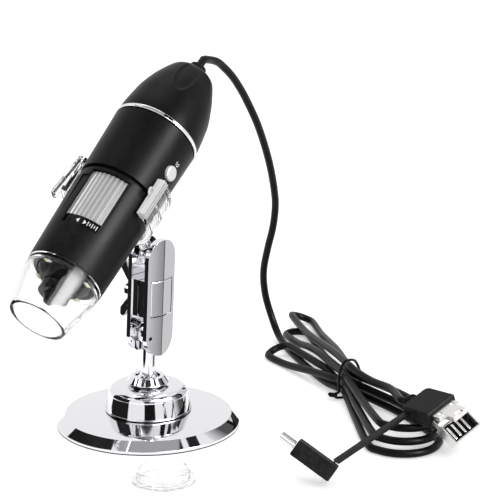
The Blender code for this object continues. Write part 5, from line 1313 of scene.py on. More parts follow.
@dataclass
class Nose:
    """Clear nose cover with the lamps, the bezel and the sliding lens inside."""

    length: float = 19.8 * MM
    mouth: float = 10.3 * MM
    back_radius: float = 14.67 * MM
    wall: float = 1.25 * MM
    collar: float = 13.35 * MM
    collar_bore: float = 12.45 * MM
    collar_end: float = 23.8 * MM
    board: Pair = (10.75 * MM, 12.1 * MM)
    board_faces: Pair = (18.9 * MM, 19.9 * MM)
    lamp_count: int = 4
    lamp_circle: float = 11.2 * MM
    lamp_face: float = 18.6 * MM
    bezel_bore: float = 6.2 * MM
    bezel_back: float = 10.1 * MM
    bezel_mouth: float = 10.4 * MM
    bezel_throat: float = 6.9 * MM
    bezel_end: float = 24.0 * MM
    bezel_front: float = 19.3 * MM
    bezel_depth: float = 4.0 * MM
    bezel_steps: int = 5

    SWELL = ((0.0, 0.0), (0.03, 0.14), (0.15, 0.26), (0.31, 0.42), (0.51, 0.63), (0.77, 0.88),
             (0.985, 0.985))

    def build(self) -> None:
        """Build and dress the nose."""
        self._cover()
        self._lamps()
        self._bezel()
        self._lens()

    def _cover(self) -> None:
        """Build the clear cover."""
        fall = self.back_radius - self.mouth
        knots = [Vector((self.mouth + fall * r, self.length * z, 0.0)) for z, r in self.SWELL]
        outer = [(p.x, p.y) for p in curve_through(knots, 0.5 * MM)]
        inner = [(r - self.wall, z) for r, z in outer if 0.9 * MM < z < 17.6 * MM]
        lip = [(self.mouth + dr * MM, z * MM) for dr, z in (
            (-0.55, 0.45), (-0.35, 0.08), (0.1, 0.0), (0.45, 0.12))]
        seat = self.length - 0.3 * MM
        back = [(self.back_radius - 0.1 * MM, seat), (self.collar, seat),
                (self.collar, self.collar_end), (self.collar_bore, self.collar_end),
                (self.collar_bore, seat - self.wall)]
        outline = ([(r, z) for r, z in outer if 0.3 * MM < z < seat] + back
                   + list(reversed(inner)) + lip)
        dress(lathe("nose", outline, Place.BARREL, 160), Finishes.CLEAR, "barrel", "nose_cover",
              smooth=50.0)

    def _lamps(self) -> None:
        """Build the black ring board and four lamps."""
        (inner, outer), (front, back) = self.board, self.board_faces
        ring = rounded([(outer, back), (outer, front), (inner, front), (inner, back)], 0.1 * MM, 2)
        dress(lathe("lamp_ring", ring, Place.BARREL, 96), Finishes.BOARD, "barrel", "led_board")
        dome = in_mm((0.0, -1.1), (0.35, -1.06), (0.62, -0.92), (0.75, -0.68), (0.0, -0.6))
        for i in range(self.lamp_count):
            node = f"led_{i + 1}"
            place = Place.BARREL @ turn(90.0 * (i + 0.5), "Z") @ Matrix.Translation(
                (self.lamp_circle, 0.0, self.lamp_face))
            case = block(f"lamp_case_{i + 1}", mm(1.8, 2.6, 0.7),
                         (0.0, 0.0, -0.35 * MM), place, 0.12 * MM)
            dress(case, Finishes.NYLON, "barrel", node)
            dress(lathe(f"lamp_glow_{i + 1}", dome, place, 32), Finishes.LAMP, "barrel", node)
            for letter, hand in (("a", -1.0), ("b", 1.0)):
                pad = block(f"lamp_pad_{i + 1}_{letter}", mm(1.2, 0.3, 0.6),
                            (0.0, hand * 1.3 * MM, -0.25 * MM), place, 0.05 * MM, 2)
                dress(pad, Finishes.NICKEL, "barrel", node)

    def _bezel(self) -> None:
        """Build the stepped black bezel behind the lamps."""
        narrowing = self.bezel_throat - self.bezel_mouth
        outline = [(self.bezel_bore, self.bezel_end), (self.bezel_back, self.bezel_end),
                   (self.bezel_back, 19.6 * MM), (self.bezel_mouth, self.bezel_front)]
        for i in range(self.bezel_steps):
            share, following = i / self.bezel_steps, (i + 1) / self.bezel_steps
            floor = self.bezel_front - self.bezel_depth * following
            outline += [(self.bezel_mouth + narrowing * share, floor + 0.35 * MM),
                        (self.bezel_mouth + narrowing * following, floor + 0.2 * MM)]
        outline += [(self.bezel_throat, 15.3 * MM), (self.bezel_bore, 15.3 * MM)]
        dress(lathe("bezel", outline, Place.BARREL, 96), Finishes.GLOSS, "barrel", "lens_bezel",
              smooth=25.0)

    def _lens(self) -> None:
        """Build the sliding lens tube and dress its glass and pin."""
        outline = rounded(in_mm(
            (0.8, 7.75), (1.9, 7.75), (3.5, 10.8), (5.9, 10.8), (5.9, 44.0), (10.1, 44.0),
            (10.1, 50.0), (4.2, 50.0), (4.2, 11.7), (0.8, 11.7)), 0.3 * MM, 4)
        dress(lathe("lens_barrel", outline, Place.BARREL, 96), Finishes.GLOSS, "lens",
              "lens_tube", smooth=50.0)
        keep(Finishes.GLASS, "front_lens")
        keep(Finishes.STEEL, "drive_pin")


@dataclass
class FocusWheel:
    """Ribbed silver wheel with a smooth black band."""

    start: float = 33.5 * MM
    band: float = 3.9 * MM
    band_radius: float = 14.1 * MM
    end: float = 57.2 * MM
    crest: float = 14.2 * MM
    depth: float = 0.8 * MM
    bore: float = 12.95 * MM
    ribs: int = 48
    samples: int = 10
    end_round: float = 0.6
    mark_height: float = 0.02 * MM
    mark_depth: float = 0.25 * MM

    ARROWS = (("arrow_out", -27.5, -1.0), ("arrow_in", -20.0, 1.0))

    def build(self) -> None:
        """Build and dress the wheel."""
        self._ribs()
        top = self.start + self.band - 0.05 * MM
        band = rounded([(self.band_radius, top), (self.band_radius, self.start),
                        (self.bore, self.start), (self.bore, top)], 0.15 * MM, 2)
        dress(lathe("wheel_band", band, Place.BARREL, 128), Finishes.GLOSS, "focus_wheel",
              "focus_wheel")
        self._marks()

    def _rib(self, phase: float, lift: float) -> float:
        """Return the drum's radius at a share of the pitch, with some of the rib's height."""
        swell = smooth_step((0.78 - abs(phase - 0.5) * 2.0) / 0.42)
        return self.crest - self.depth + self.depth * swell * (0.25 + 0.75 * lift)

    def _ribs(self) -> None:
        """Build the ribbed drum."""
        low = self.start + self.band
        heights = [0.0, 0.15, 0.3]
        heights += [0.3 + (self.end - low - 0.9 * MM) / MM * i / 12 for i in range(1, 13)]
        heights += [heights[-1] + s for s in (0.2, 0.35, 0.48, 0.56, 0.6)]
        last = heights[-1]
        count = self.ribs * self.samples
        angles = [tau * k / count for k in range(count)]
        shape = bmesh.new()
        rings = []
        for height in heights:
            gone = max((height - (last - self.end_round)) / self.end_round, 0.0)
            lift = sqrt(max(1.0 - gone * gone, 0.0))
            radii = [self._rib((k / self.samples) % 1.0, lift) for k in range(count)]
            rings.append([shape.verts.new((r * cos(a), r * sin(a), low + height * MM))
                          for r, a in zip(radii, angles)])
        for height in (last, heights[0]):
            rings.append([shape.verts.new((self.bore * cos(a), self.bore * sin(a),
                                           low + height * MM)) for a in angles])
        for a, b in zip(rings, rings[1:] + rings[:1]):
            for k in range(count):
                n = (k + 1) % count
                shape.faces.new((a[k], a[n], b[n], b[k]))
        dress(solid("wheel_ribs", shape, Place.BARREL), Finishes.SILVER, "focus_wheel",
              "focus_wheel", smooth=50.0)

    def _marks(self) -> None:
        """Print plain arrows and ticks on the band."""
        outer = self.band_radius + self.mark_height
        deep = outer - self.mark_depth
        station = self.start + self.band / 2
        size = 0.95 * MM
        for name, bearing, flip in self.ARROWS:
            arrow = prism(name, [(size, 0.0), (-size, 0.0), (0.0, flip * size * 1.15)], deep,
                          outer, Place.radial(bearing, station), 0.0)
            dress(arrow, Finishes.MARK, "focus_wheel")
        for i in range(5):
            half = 0.9 * MM if i % 2 == 0 else 0.55 * MM
            tick = prism(f"tick_{i}", rectangle(half, 0.14 * MM), deep, outer,
                         Place.radial(-13.0 + 3.6 * i, station), 0.0)
            dress(tick, Finishes.MARK, "focus_wheel")


@dataclass
class SnapButton:
    """Round silver button in the rear tube."""

    radius: float = 2.9 * MM
    foot: float = 13.3 * MM
    top: float = Barrel().radius(Place.BUTTON_STATION) + 1.0 * MM

    CROWN = ((0.0, 0.05), (1.6, 0.02), (2.3, -0.06), (2.6, -0.17), (2.8, -0.35))

    def build(self) -> None:
        """Build and dress the button."""
        outline = [(r * MM, self.top + z * MM) for r, z in self.CROWN]
        outline += [(self.radius, self.top - 0.65 * MM), (self.radius, self.foot), (0.0, self.foot)]
        place = Place.radial(Place.BUTTON_BEARING, Place.BUTTON_STATION)
        dress(lathe("button", outline, place, 64), Finishes.BUTTON, "button", "snap_button",
              smooth=50.0)


# ---- cord and plugs


@dataclass
class Cord:
    """The cord: its free stretch down to the table, and the hank that it is tied in."""

    radius: float = 1.5 * MM
    step: float = 1.5 * MM
    sides: int = 18
    tie: Pair = (77.5 * MM, 28.0 * MM)
    bearing: float = radians(-75.0)
    column: float = 1.95 * MM
    layer: float = 3.5 * MM
    first_layer: float = 1.55 * MM
    tie_lift: float = 1.3 * MM
    lift_reach: float = 24.0 * MM
    gland_tip: float = 122.6 * MM
    piece_length: float = 31.0 * MM
    blend_inset: float = 0.08
    tie_wire: float = 0.52 * MM
    tie_clear: float = 0.45 * MM
    tie_rise: float = 1.3 * MM
    twist_wire: float = 0.95
    twist_radius: float = 0.54 * MM
    twist_turns: float = 1.6
    twist_steps: int = 24
    fittings: tuple[str, ...] = ()

    ROUTE = ((22.5, 30.3, 134.1), (23.9, 33.6, 133.3), (25.8, 36.6, 132.2), (27.6, 39.8, 130.3),
             (31.5, 45.7, 125.0), (35.0, 51.5, 118.4), (38.1, 57.0, 111.2), (41.5, 63.0, 102.2),
             (44.6, 70.0, 91.3), (47.0, 76.0, 80.5), (48.6, 82.0, 69.4), (48.9, 86.0, 61.9),
             (48.0, 90.0, 52.7), (46.1, 94.0, 43.4), (44.5, 98.0, 33.9), (44.3, 101.0, 26.3),
             (45.4, 103.5, 18.0), (47.8, 103.6, 9.6), (50.6, 98.5, 3.3), (54.0, 86.0, 1.75),
             (58.2, 72.0, 1.65))
    FRONT = ((67.0, 3.3, 13.3), (64.0, 4.5, 12.0), (60.0, 6.5, 11.0))
    BACK = ((58.0, -13.2, 4.6), (83.0, 1.6, 4.6), (98.0, 8.4, 4.6))
    CLIMB = ((8.0, 24.0, 14.0, 46.0), (14.0, 50.0, 29.0, 78.0), (20.0, 93.0, 10.0, 80.0))
    TAIL = ((8.0, 0.9, 12.1), (18.0, 3.4, 12.5), (31.0, 6.3, 13.9))
    JOINTS = (("barrel", "clip"), ("clip", "arm"), ("arm", "rod"), ("rod", "ball_seat"),
              ("ball_seat", "stand_base"))

    def _axes(self) -> tuple[Vector, Vector]:
        """Return the hank's directions to the front and to the right."""
        along, across = cos(self.bearing), sin(self.bearing)
        return Vector((along, across, 0.0)), Vector((-across, along, 0.0))

    def point(self, along: float, across: float, height: float) -> Vector:
        """Return a point of the hank: along to the front, across to the right."""
        lift = self.tie_lift * (1.0 - smooth_step(abs(along) / self.lift_reach))
        forward, right = self._axes()
        return Vector((*self.tie, height + lift)) + forward * along + right * across

    def _fold(self, direction: float, fold: Sequence[float], side: float,
              columns: Pair, layers: tuple[float, float, float, float],
              climb: Sequence[float], counts: tuple[int, int], bulge: bool) -> list[Vector]:
        """Return half a loop: out along one run, round the fold and back along the other.

        Args:
            direction: 1 to the front, -1 to the back.
            fold: Length, sideways place and radius of the fold.
            side: Side that the run goes out on.
            columns: Columns of the outgoing and the incoming run at the tie.
            layers: Heights at the tie and the fold, going out and coming in.
            climb: Where the change of layer starts and ends, out and in.
            counts: Points in a run and in a fold.
            bulge: Whether the runs bulge sideways as the front ones do.

        Returns:
            Points of the half loop.
        """
        length, lateral, radius = fold
        run = length - radius
        run_points, fold_points = counts

        def on_run(along: float, column: float, hand: float, near: float, far: float,
                   start: float, end: float) -> Vector:
            """Return a point on a run."""
            share = along / run
            if bulge:
                share = smooth_step(share if hand < 0 else share / 0.75)
            across = column + (lateral + hand * radius - column) * share
            height = near + (far - near) * smooth_step((along - start) / (end - start))
            return self.point(direction * along, across, height)

        near_out, far_out, far_in, near_in = layers
        points = [on_run(run * i / run_points, columns[0], side, near_out, far_out, *climb[:2])
                  for i in range(run_points)]
        for i in range(fold_points):
            angle = pi * i / fold_points
            height = (far_out + far_in) / 2 + (far_out - far_in) / 2 * cos(angle)
            points.append(self.point(direction * (run + radius * sin(angle)),
                                     lateral + side * radius * cos(angle), height))
        return points + [on_run(run * (1 - i / run_points), columns[1], -side, near_in, far_in,
                                *climb[2:]) for i in range(run_points)]

    def _loops(self) -> list[Vector]:
        """Return the points of the hank's three loops, up to the tail that leaves on top."""
        layers = [self.first_layer + self.layer * i for i in range(4)]
        points: list[Vector] = []
        for k in range(3):
            front, back, climb = (mm(*row[k]) for row in (self.FRONT, self.BACK, self.CLIMB))
            level, last = layers[k], k == 2
            points += self._fold(1.0, front, -1.0, (-self.column, self.column), (level,) * 4,
                                 (0.0, self.layer, 0.0, self.layer), (2, 6), True)
            points += self._fold(-1.0, back, 1.0, (self.column, 0.0 if last else -self.column),
                                 (level, layers[1 if k == 0 else 0], layers[1 if last else 0],
                                  layers[k + 1]), climb, (5, 4), False)
        return points + [self.point(0.0, 0.0, layers[-1])]

    def build(self) -> None:
        """Build and dress the cord and its tie."""
        start = Place.BARREL @ Vector((0.0, 0.0, self.gland_tip + 0.3 * MM))
        axis = Place.direction(Place.BARREL, 0.0, 0.0, 1.0)
        entry = self.point(-5.0 * MM, -self.column - self.radius / 2, self.first_layer)
        approach = [self.point(-34.0 * MM, -6.3 * MM, self.first_layer),
                    self.point(-17.0 * MM, -5.0 * MM, self.first_layer)]
        heading = (entry - approach[-1]).normalized()
        straight = 2 * self.radius
        knots = [start + axis * straight] + [Vector(p) * MM for p in self.ROUTE] + approach
        self._free([start] + curve_through(knots + [entry - heading * straight], self.step)
                   + [entry])
        self._hank(entry + heading * 0.3 * MM, heading)
        self._tie()

    def _length(self, name: str, points: Sequence[Vector], body: str, node: str) -> Thing:
        """Return a dressed length of cord along points."""
        return dress(pipe(name, points, self.radius, self.sides), Finishes.JACKET, body, node,
                     smooth=70.0)

    def _free(self, free: list[Vector]) -> None:
        """Build the free stretch as one short piece for each joint listed, and the rest as a piece
        on the base.

        Args:
            free: Points of the free stretch, from the gland to the tie.
        """
        total = length_of(free)
        share = self.piece_length / total
        marks = [0] + [round((len(free) - 1) * share * (i + 1)) for i in range(len(self.JOINTS))]
        # Each piece ends at the point where the next one starts
        for i, (first, second) in enumerate(self.JOINTS):
            points = free[marks[i]:marks[i + 1] + 1]
            piece = self._length(f"cord_{i + 1}", points, "", "free_cord")
            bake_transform(piece)
        points = free[marks[-1]:]
        rest = self._length("cord_6", points, "stand_base", "free_cord")
        LOG.info("free cord: %.0f mm", total / MM)

    def _hank(self, begin: Vector, heading: Vector) -> None:
        """Build the hank.

        Args:
            begin: Where the hank's cord begins.
            heading: Direction of the cord there.
        """
        nub = Place.PLUG @ Vector((-18.0 * MM, 0.0, 0.0))
        back = Place.direction(Place.PLUG, -1.0, 0.0, 0.0)
        tail = [self.point(*mm(*p)) for p in self.TAIL]
        knots = ([begin, begin + heading * self.radius] + self._loops() + tail
                 + [nub + back * 3.0 * MM, nub])
        points = curve_through(knots, self.step)
        hank = self._length("cord_in_hank", points, "stand_base", "cord_hank")
        LOG.info("hank: %.0f mm", length_of(points) / MM)

    def _tie(self) -> None:
        """Build the twisted wire tie round the hank's waist."""
        clear, wire, rise = self.tie_clear, self.tie_wire, self.tie_rise
        half = self.column + self.radius + clear
        low = wire + 0.1 * MM
        side_top = self.first_layer + 2 * self.layer + self.tie_lift
        top = (self.first_layer + 3 * self.layer + self.tie_lift + self.radius + clear + wire)
        shoulder = top - self.layer / 4
        corners = [(-half - 2.0 * MM, low + 0.5 * MM), (-half - clear, low), (half, low),
                   (half + clear, low + self.tie_lift), (half + clear, side_top),
                   (self.column + clear, shoulder), (0.0, top), (-self.column - clear, shoulder),
                   (-half - clear, side_top), (-half - clear, low + rise + self.tie_lift),
                   (-half - 2.0 * MM, low + rise + 0.6 * MM)]
        forward, right = self._axes()
        middle = Vector((*self.tie, 0.0))
        points = [middle + right * a + Vector((0.0, 0.0, z)) for a, z in corners]
        dress(pipe("tie_loop", curve_through(points, 0.6 * MM), wire, 10), Finishes.GLOSS,
              "stand_base", "hank_tie", smooth=70.0)
        for letter, hand in (("a", 0.0), ("b", pi)):
            twist = []
            for i in range(self.twist_steps + 1):
                out = -half - 1.5 * MM - 3.0 * MM * i / self.twist_steps
                height = low + 0.95 * MM + 0.55 * rise * i / self.twist_steps
                angle = hand + tau * self.twist_turns * i / self.twist_steps
                around = forward * cos(angle) + Vector((0.0, 0.0, sin(angle)))
                twist.append(middle + right * out + Vector((0.0, 0.0, height))
                             + around * self.twist_radius)
            dress(pipe(f"tie_twist_{letter}", twist, wire * self.twist_wire, 10),
                  Finishes.GLOSS, "stand_base", "hank_tie", smooth=70.0)


@dataclass
class Plug:
    """Moulded plug with its metal tongue and a hinged metal shell."""

    length: float = 13.5 * MM
    width: float = 14.9 * MM
    thickness: float = 6.4 * MM
    chamfer: float = 1.4 * MM
    tray: float = 10.9 * MM
    tray_start: float = 2.5 * MM
    tray_width: float = 13.5 * MM
    above: float = 1.9 * MM
    below: float = 2.5 * MM
    wall: float = 0.5 * MM
    core_gap: float = 0.3 * MM
    core_height: float = 1.3 * MM
    contacts: int = 4
    contact_pitch: float = 2.5 * MM

    def build(self) -> list[str]:
        """Build and dress the plug.

        Returns:
            Names of its pieces.
        """
        return [o.name for o in (self._mould() + self._tongue() + self._tray())]

    def _mould(self) -> list[Thing]:
        """Build the overmould with its nub."""
        half, end = self.width / 2, -self.length
        plan = rounded([(end, -half + self.chamfer), (end + self.chamfer, -half), (0.0, -half),
                        (0.0, half), (end + self.chamfer, half), (end, half - self.chamfer)],
                       0.7 * MM, 4)
        body = prism("plug_mould", plan, -self.thickness / 2, self.thickness / 2, Place.PLUG,
                     0.9 * MM, 4)
        rear = Place.PLUG @ Matrix.Translation((end, 0.0, 0.0)) @ turn(90.0, "Y")
        nub = rounded(in_mm((0.0, -4.15), (2.35, -4.15), (2.5, 2.0), (0.0, 2.0)), 0.5 * MM, 4)
        join(body, lathe("nub", nub, rear, 48), "UNION")
        for i in range(2):
            low, high = -3.2 * MM + 1.3 * MM * i, -2.8 * MM + 1.3 * MM * i
            groove = [(2.2 * MM, low), (3.2 * MM, low), (3.2 * MM, high), (2.2 * MM, high)]
            join(body, lathe("groove", groove, rear, 48))
        return [dress(body, Finishes.MATTE, "stand_base", "plug_overmold", smooth=40.0)]

    def _tongue(self) -> list[Thing]:
        """Build the stepped metal tongue."""
        outline = rounded(in_mm((0.3, -5.8), (4.2, -5.8), (4.2, -3.6), (9.3, -3.6), (9.3, 3.6),
                                (4.2, 3.6), (4.2, 5.8), (0.3, 5.8)), 0.35 * MM, 3)
        tongue = prism("plug_blade", outline, -0.35 * MM, 1.65 * MM, Place.PLUG, 0.18 * MM, 2)
        join(tongue, block("slot", mm(2.4, 3.0, 0.5), mm(8.9, 0.0, 1.6), Place.PLUG, 0.0))
        for hand in (-1.0, 1.0):
            join(tongue, block("window", mm(1.3, 1.5, 0.5),
                               (2.4 * MM, hand * 3.4 * MM, 1.6 * MM), Place.PLUG, 0.0))
        return [dress(tongue, Finishes.NICKEL, "stand_base", "plug_tongue", smooth=35.0)]

    def _tray(self) -> list[Thing]:
        """Build the hinged shell, its insulator and its contacts."""
        length, wide = self.tray - self.tray_start, self.tray_width - 2 * self.wall
        height = self.above + self.below
        middle = (self.above - self.below) / 2
        centre = self.tray_start + length / 2

        def chunk(name: str, size: Triple, where: Triple) -> Thing:
            """Return a plain box in the shell's frame."""
            return block(name, size, where, Place.TRAY, 0.0)

        tray = chunk("plug_case", (length, self.tray_width, height), (centre, 0.0, middle))
        join(tray, chunk("hollow", (length - 2 * self.wall, wide, height),
                         (centre, 0.0, middle + self.wall)))
        join(tray, chunk("gate", (4.0 * MM, wide, height),
                         (self.tray_start, 0.0, 0.4 * MM + height / 2 - self.wall)))
        for hand in (-1.0, 1.0):
            join(tray, chunk("ear", (3.8 * MM, self.wall, 1.6 * MM),
                             (1.1 * MM, hand * (self.tray_width - self.wall) / 2, 0.0)), "UNION")
            join(tray, chunk("window", mm(1.5, 1.9, 3.0),
                             (centre + 0.9 * MM, hand * 3.0 * MM, -self.below)))
        made = [dress(tray, Finishes.NICKEL, "plug_shell", "plug_shell", 0.1 * MM, 35.0)]
        floor = -self.below + self.wall + self.core_gap
        slack = 2 * self.core_gap
        core = block("contact_core", (length - 2 * self.wall - slack, wide - slack,
                                      self.core_height),
                     (centre, 0.0, floor + self.core_height / 2), Place.TRAY, 0.12 * MM, 2)
        made.append(dress(core, Finishes.GLOSS, "plug_shell", "plug_contacts"))
        for i in range(self.contacts):
            strip = block(f"contact_{i + 1}", (length - 3.0 * MM, 1.0 * MM, 0.3 * MM),
                          (centre, (i - 1.5) * self.contact_pitch, floor + 1.36 * MM), Place.TRAY,
                          0.1 * MM, 2)
            made.append(dress(strip, Finishes.NICKEL, "plug_shell", "plug_contacts"))
        return made


@dataclass
class Adapter:
    """Adapter on its flat tether: moulded body, small metal plug and port."""

    length: float = 16.6 * MM
    width: float = 9.2 * MM
    thickness: float = 6.0 * MM
    shell_half: float = 1.25 * MM
    shell_bore: float = 0.85 * MM
    shell_reach: float = 2.65 * MM

    CLEARANCES = (((14.1, 15.5, 7.0), (-6.75, 0.0, 0.0), Place.PLUG),
                  ((17.2, 9.8, 6.6), (8.3, 0.0, 0.0), Place.ADAPTER))

    def build(self) -> list[str]:
        """Build and dress the adapter and its tether.

        Returns:
            Names of their pieces.
        """
        profile = rounded(rectangle(self.width / 2, self.thickness / 2), 1.9 * MM, 6)
        lie = Place.ADAPTER @ turn(90.0, "Y") @ turn(90.0, "Z")
        body = prism("adapter_mould", profile, 0.0, self.length, lie, 0.6 * MM, 4)
        join(body, self._box("port", (7.0, 6.6, 3.0), self.length - 1.5 * MM))
        made = [dress(body, Finishes.MATTE, "stand_base", "adapter_body", smooth=40.0)]
        liner = self._box("port_liner", (4.4, 6.0, 2.4), self.length - 2.8 * MM)
        join(liner, self._box("hollow", (5.0, 5.4, 1.8), self.length - 1.3 * MM))
        made.append(dress(liner, Finishes.NICKEL, "stand_base", "adapter_port", smooth=35.0))
        out = Place.ADAPTER @ turn(-90.0, "Y") @ turn(90.0, "Z")
        metal = prism("small_plug", self._oval(self.shell_half), 0.3 * MM, 6.3 * MM, out,
                      0.12 * MM, 2)
        join(metal, prism("bore", self._oval(self.shell_bore), 0.8 * MM, 8.0 * MM, out, 0.0))
        made.append(dress(metal, Finishes.NICKEL, "stand_base", "adapter_plug", smooth=40.0))
        made.append(self._strap())
        return [o.name for o in made]

    @staticmethod
    def _box(name: str, size: Triple, station: float) -> Thing:
        """Return a plain box on the adapter's axis, with its size in millimetres."""
        return block(name, mm(*size), (station, 0.0, 0.0), Place.ADAPTER, 0.0)

    def _oval(self, half: float) -> Outline:
        """Return the small plug's outline with its ends rounded at a radius."""
        return arc(half, -90.0, 90.0, 16, (self.shell_reach, 0.0)) + arc(
            half, 90.0, 270.0, 16, (-self.shell_reach, 0.0))

    def _strap(self) -> Thing:
        """Build the flat tether between the plug and the adapter."""
        start = Place.PLUG @ Vector(mm(-11.6, -5.45, 0.0))
        end = Place.ADAPTER @ Vector((self.length - 2.8 * MM, 0.8 * MM, 1.0 * MM))
        run = end - start
        along = run.normalized()
        across = (Place.PLUG.to_3x3() @ Vector((0.0, 0.0, 1.0))).cross(along).normalized()
        lie = (Matrix.Translation((start + end) / 2)
               @ Matrix((along, across, along.cross(across))).transposed().to_4x4())
        strap = block("tether", (run.length, 2.8 * MM, 1.6 * MM), (0.0, 0.0, 0.0), lie,
                      0.45 * MM, 4)
        for size, centre, place in self.CLEARANCES:
            join(strap, block("clear", mm(*size), mm(*centre), place, 0.0))
        return dress(strap, Finishes.MATTE, "stand_base", "tether_strap", smooth=40.0)


@dataclass
class TipCap:
    """Clear tip cap lying on the table."""

    flange: float = 11.5 * MM
    flange_height: float = 1.1 * MM
    ring: float = 9.6 * MM
    ring_height: float = 3.3 * MM
    wall: float = 1.1 * MM

    def build(self) -> None:
        """Build and dress the cap."""
        top = self.flange_height + self.ring_height
        inner = self.ring - self.wall
        outline = rounded([(0.0, self.flange_height), (inner, self.flange_height), (inner, top),
                           (self.ring, top), (self.ring, self.flange_height),
                           (self.flange, self.flange_height), (self.flange, 0.0), (0.0, 0.0)],
                          0.3 * MM, 4)
        dress(lathe("cap", outline, Place.CAP, 128), Finishes.THIN, "stand_base", "tip_cap",
              smooth=50.0)


# ---- studio


@dataclass(frozen=True)
class Card:
    """A card that only reflections see: its direction, size and tone.

    A card with a near distance shows only to reflections that start closer to it than that.
    """

    name: str
    azimuth: float
    elevation: float
    width: float
    height: float
    tone: float
    end_tone: Optional[float] = None
    distance: float = 0.9
    roll: float = 0.0
    fade: float = 0.0
    centre: Triple = (0.0, 0.0, 0.02)
    through: bool = False
    near: float = 0.0


@dataclass(frozen=True)
class Lamp:
    """A soft lamp: its direction, size in metres and power in watts."""

    name: str
    azimuth: float
    elevation: float
    size: float
    power: float


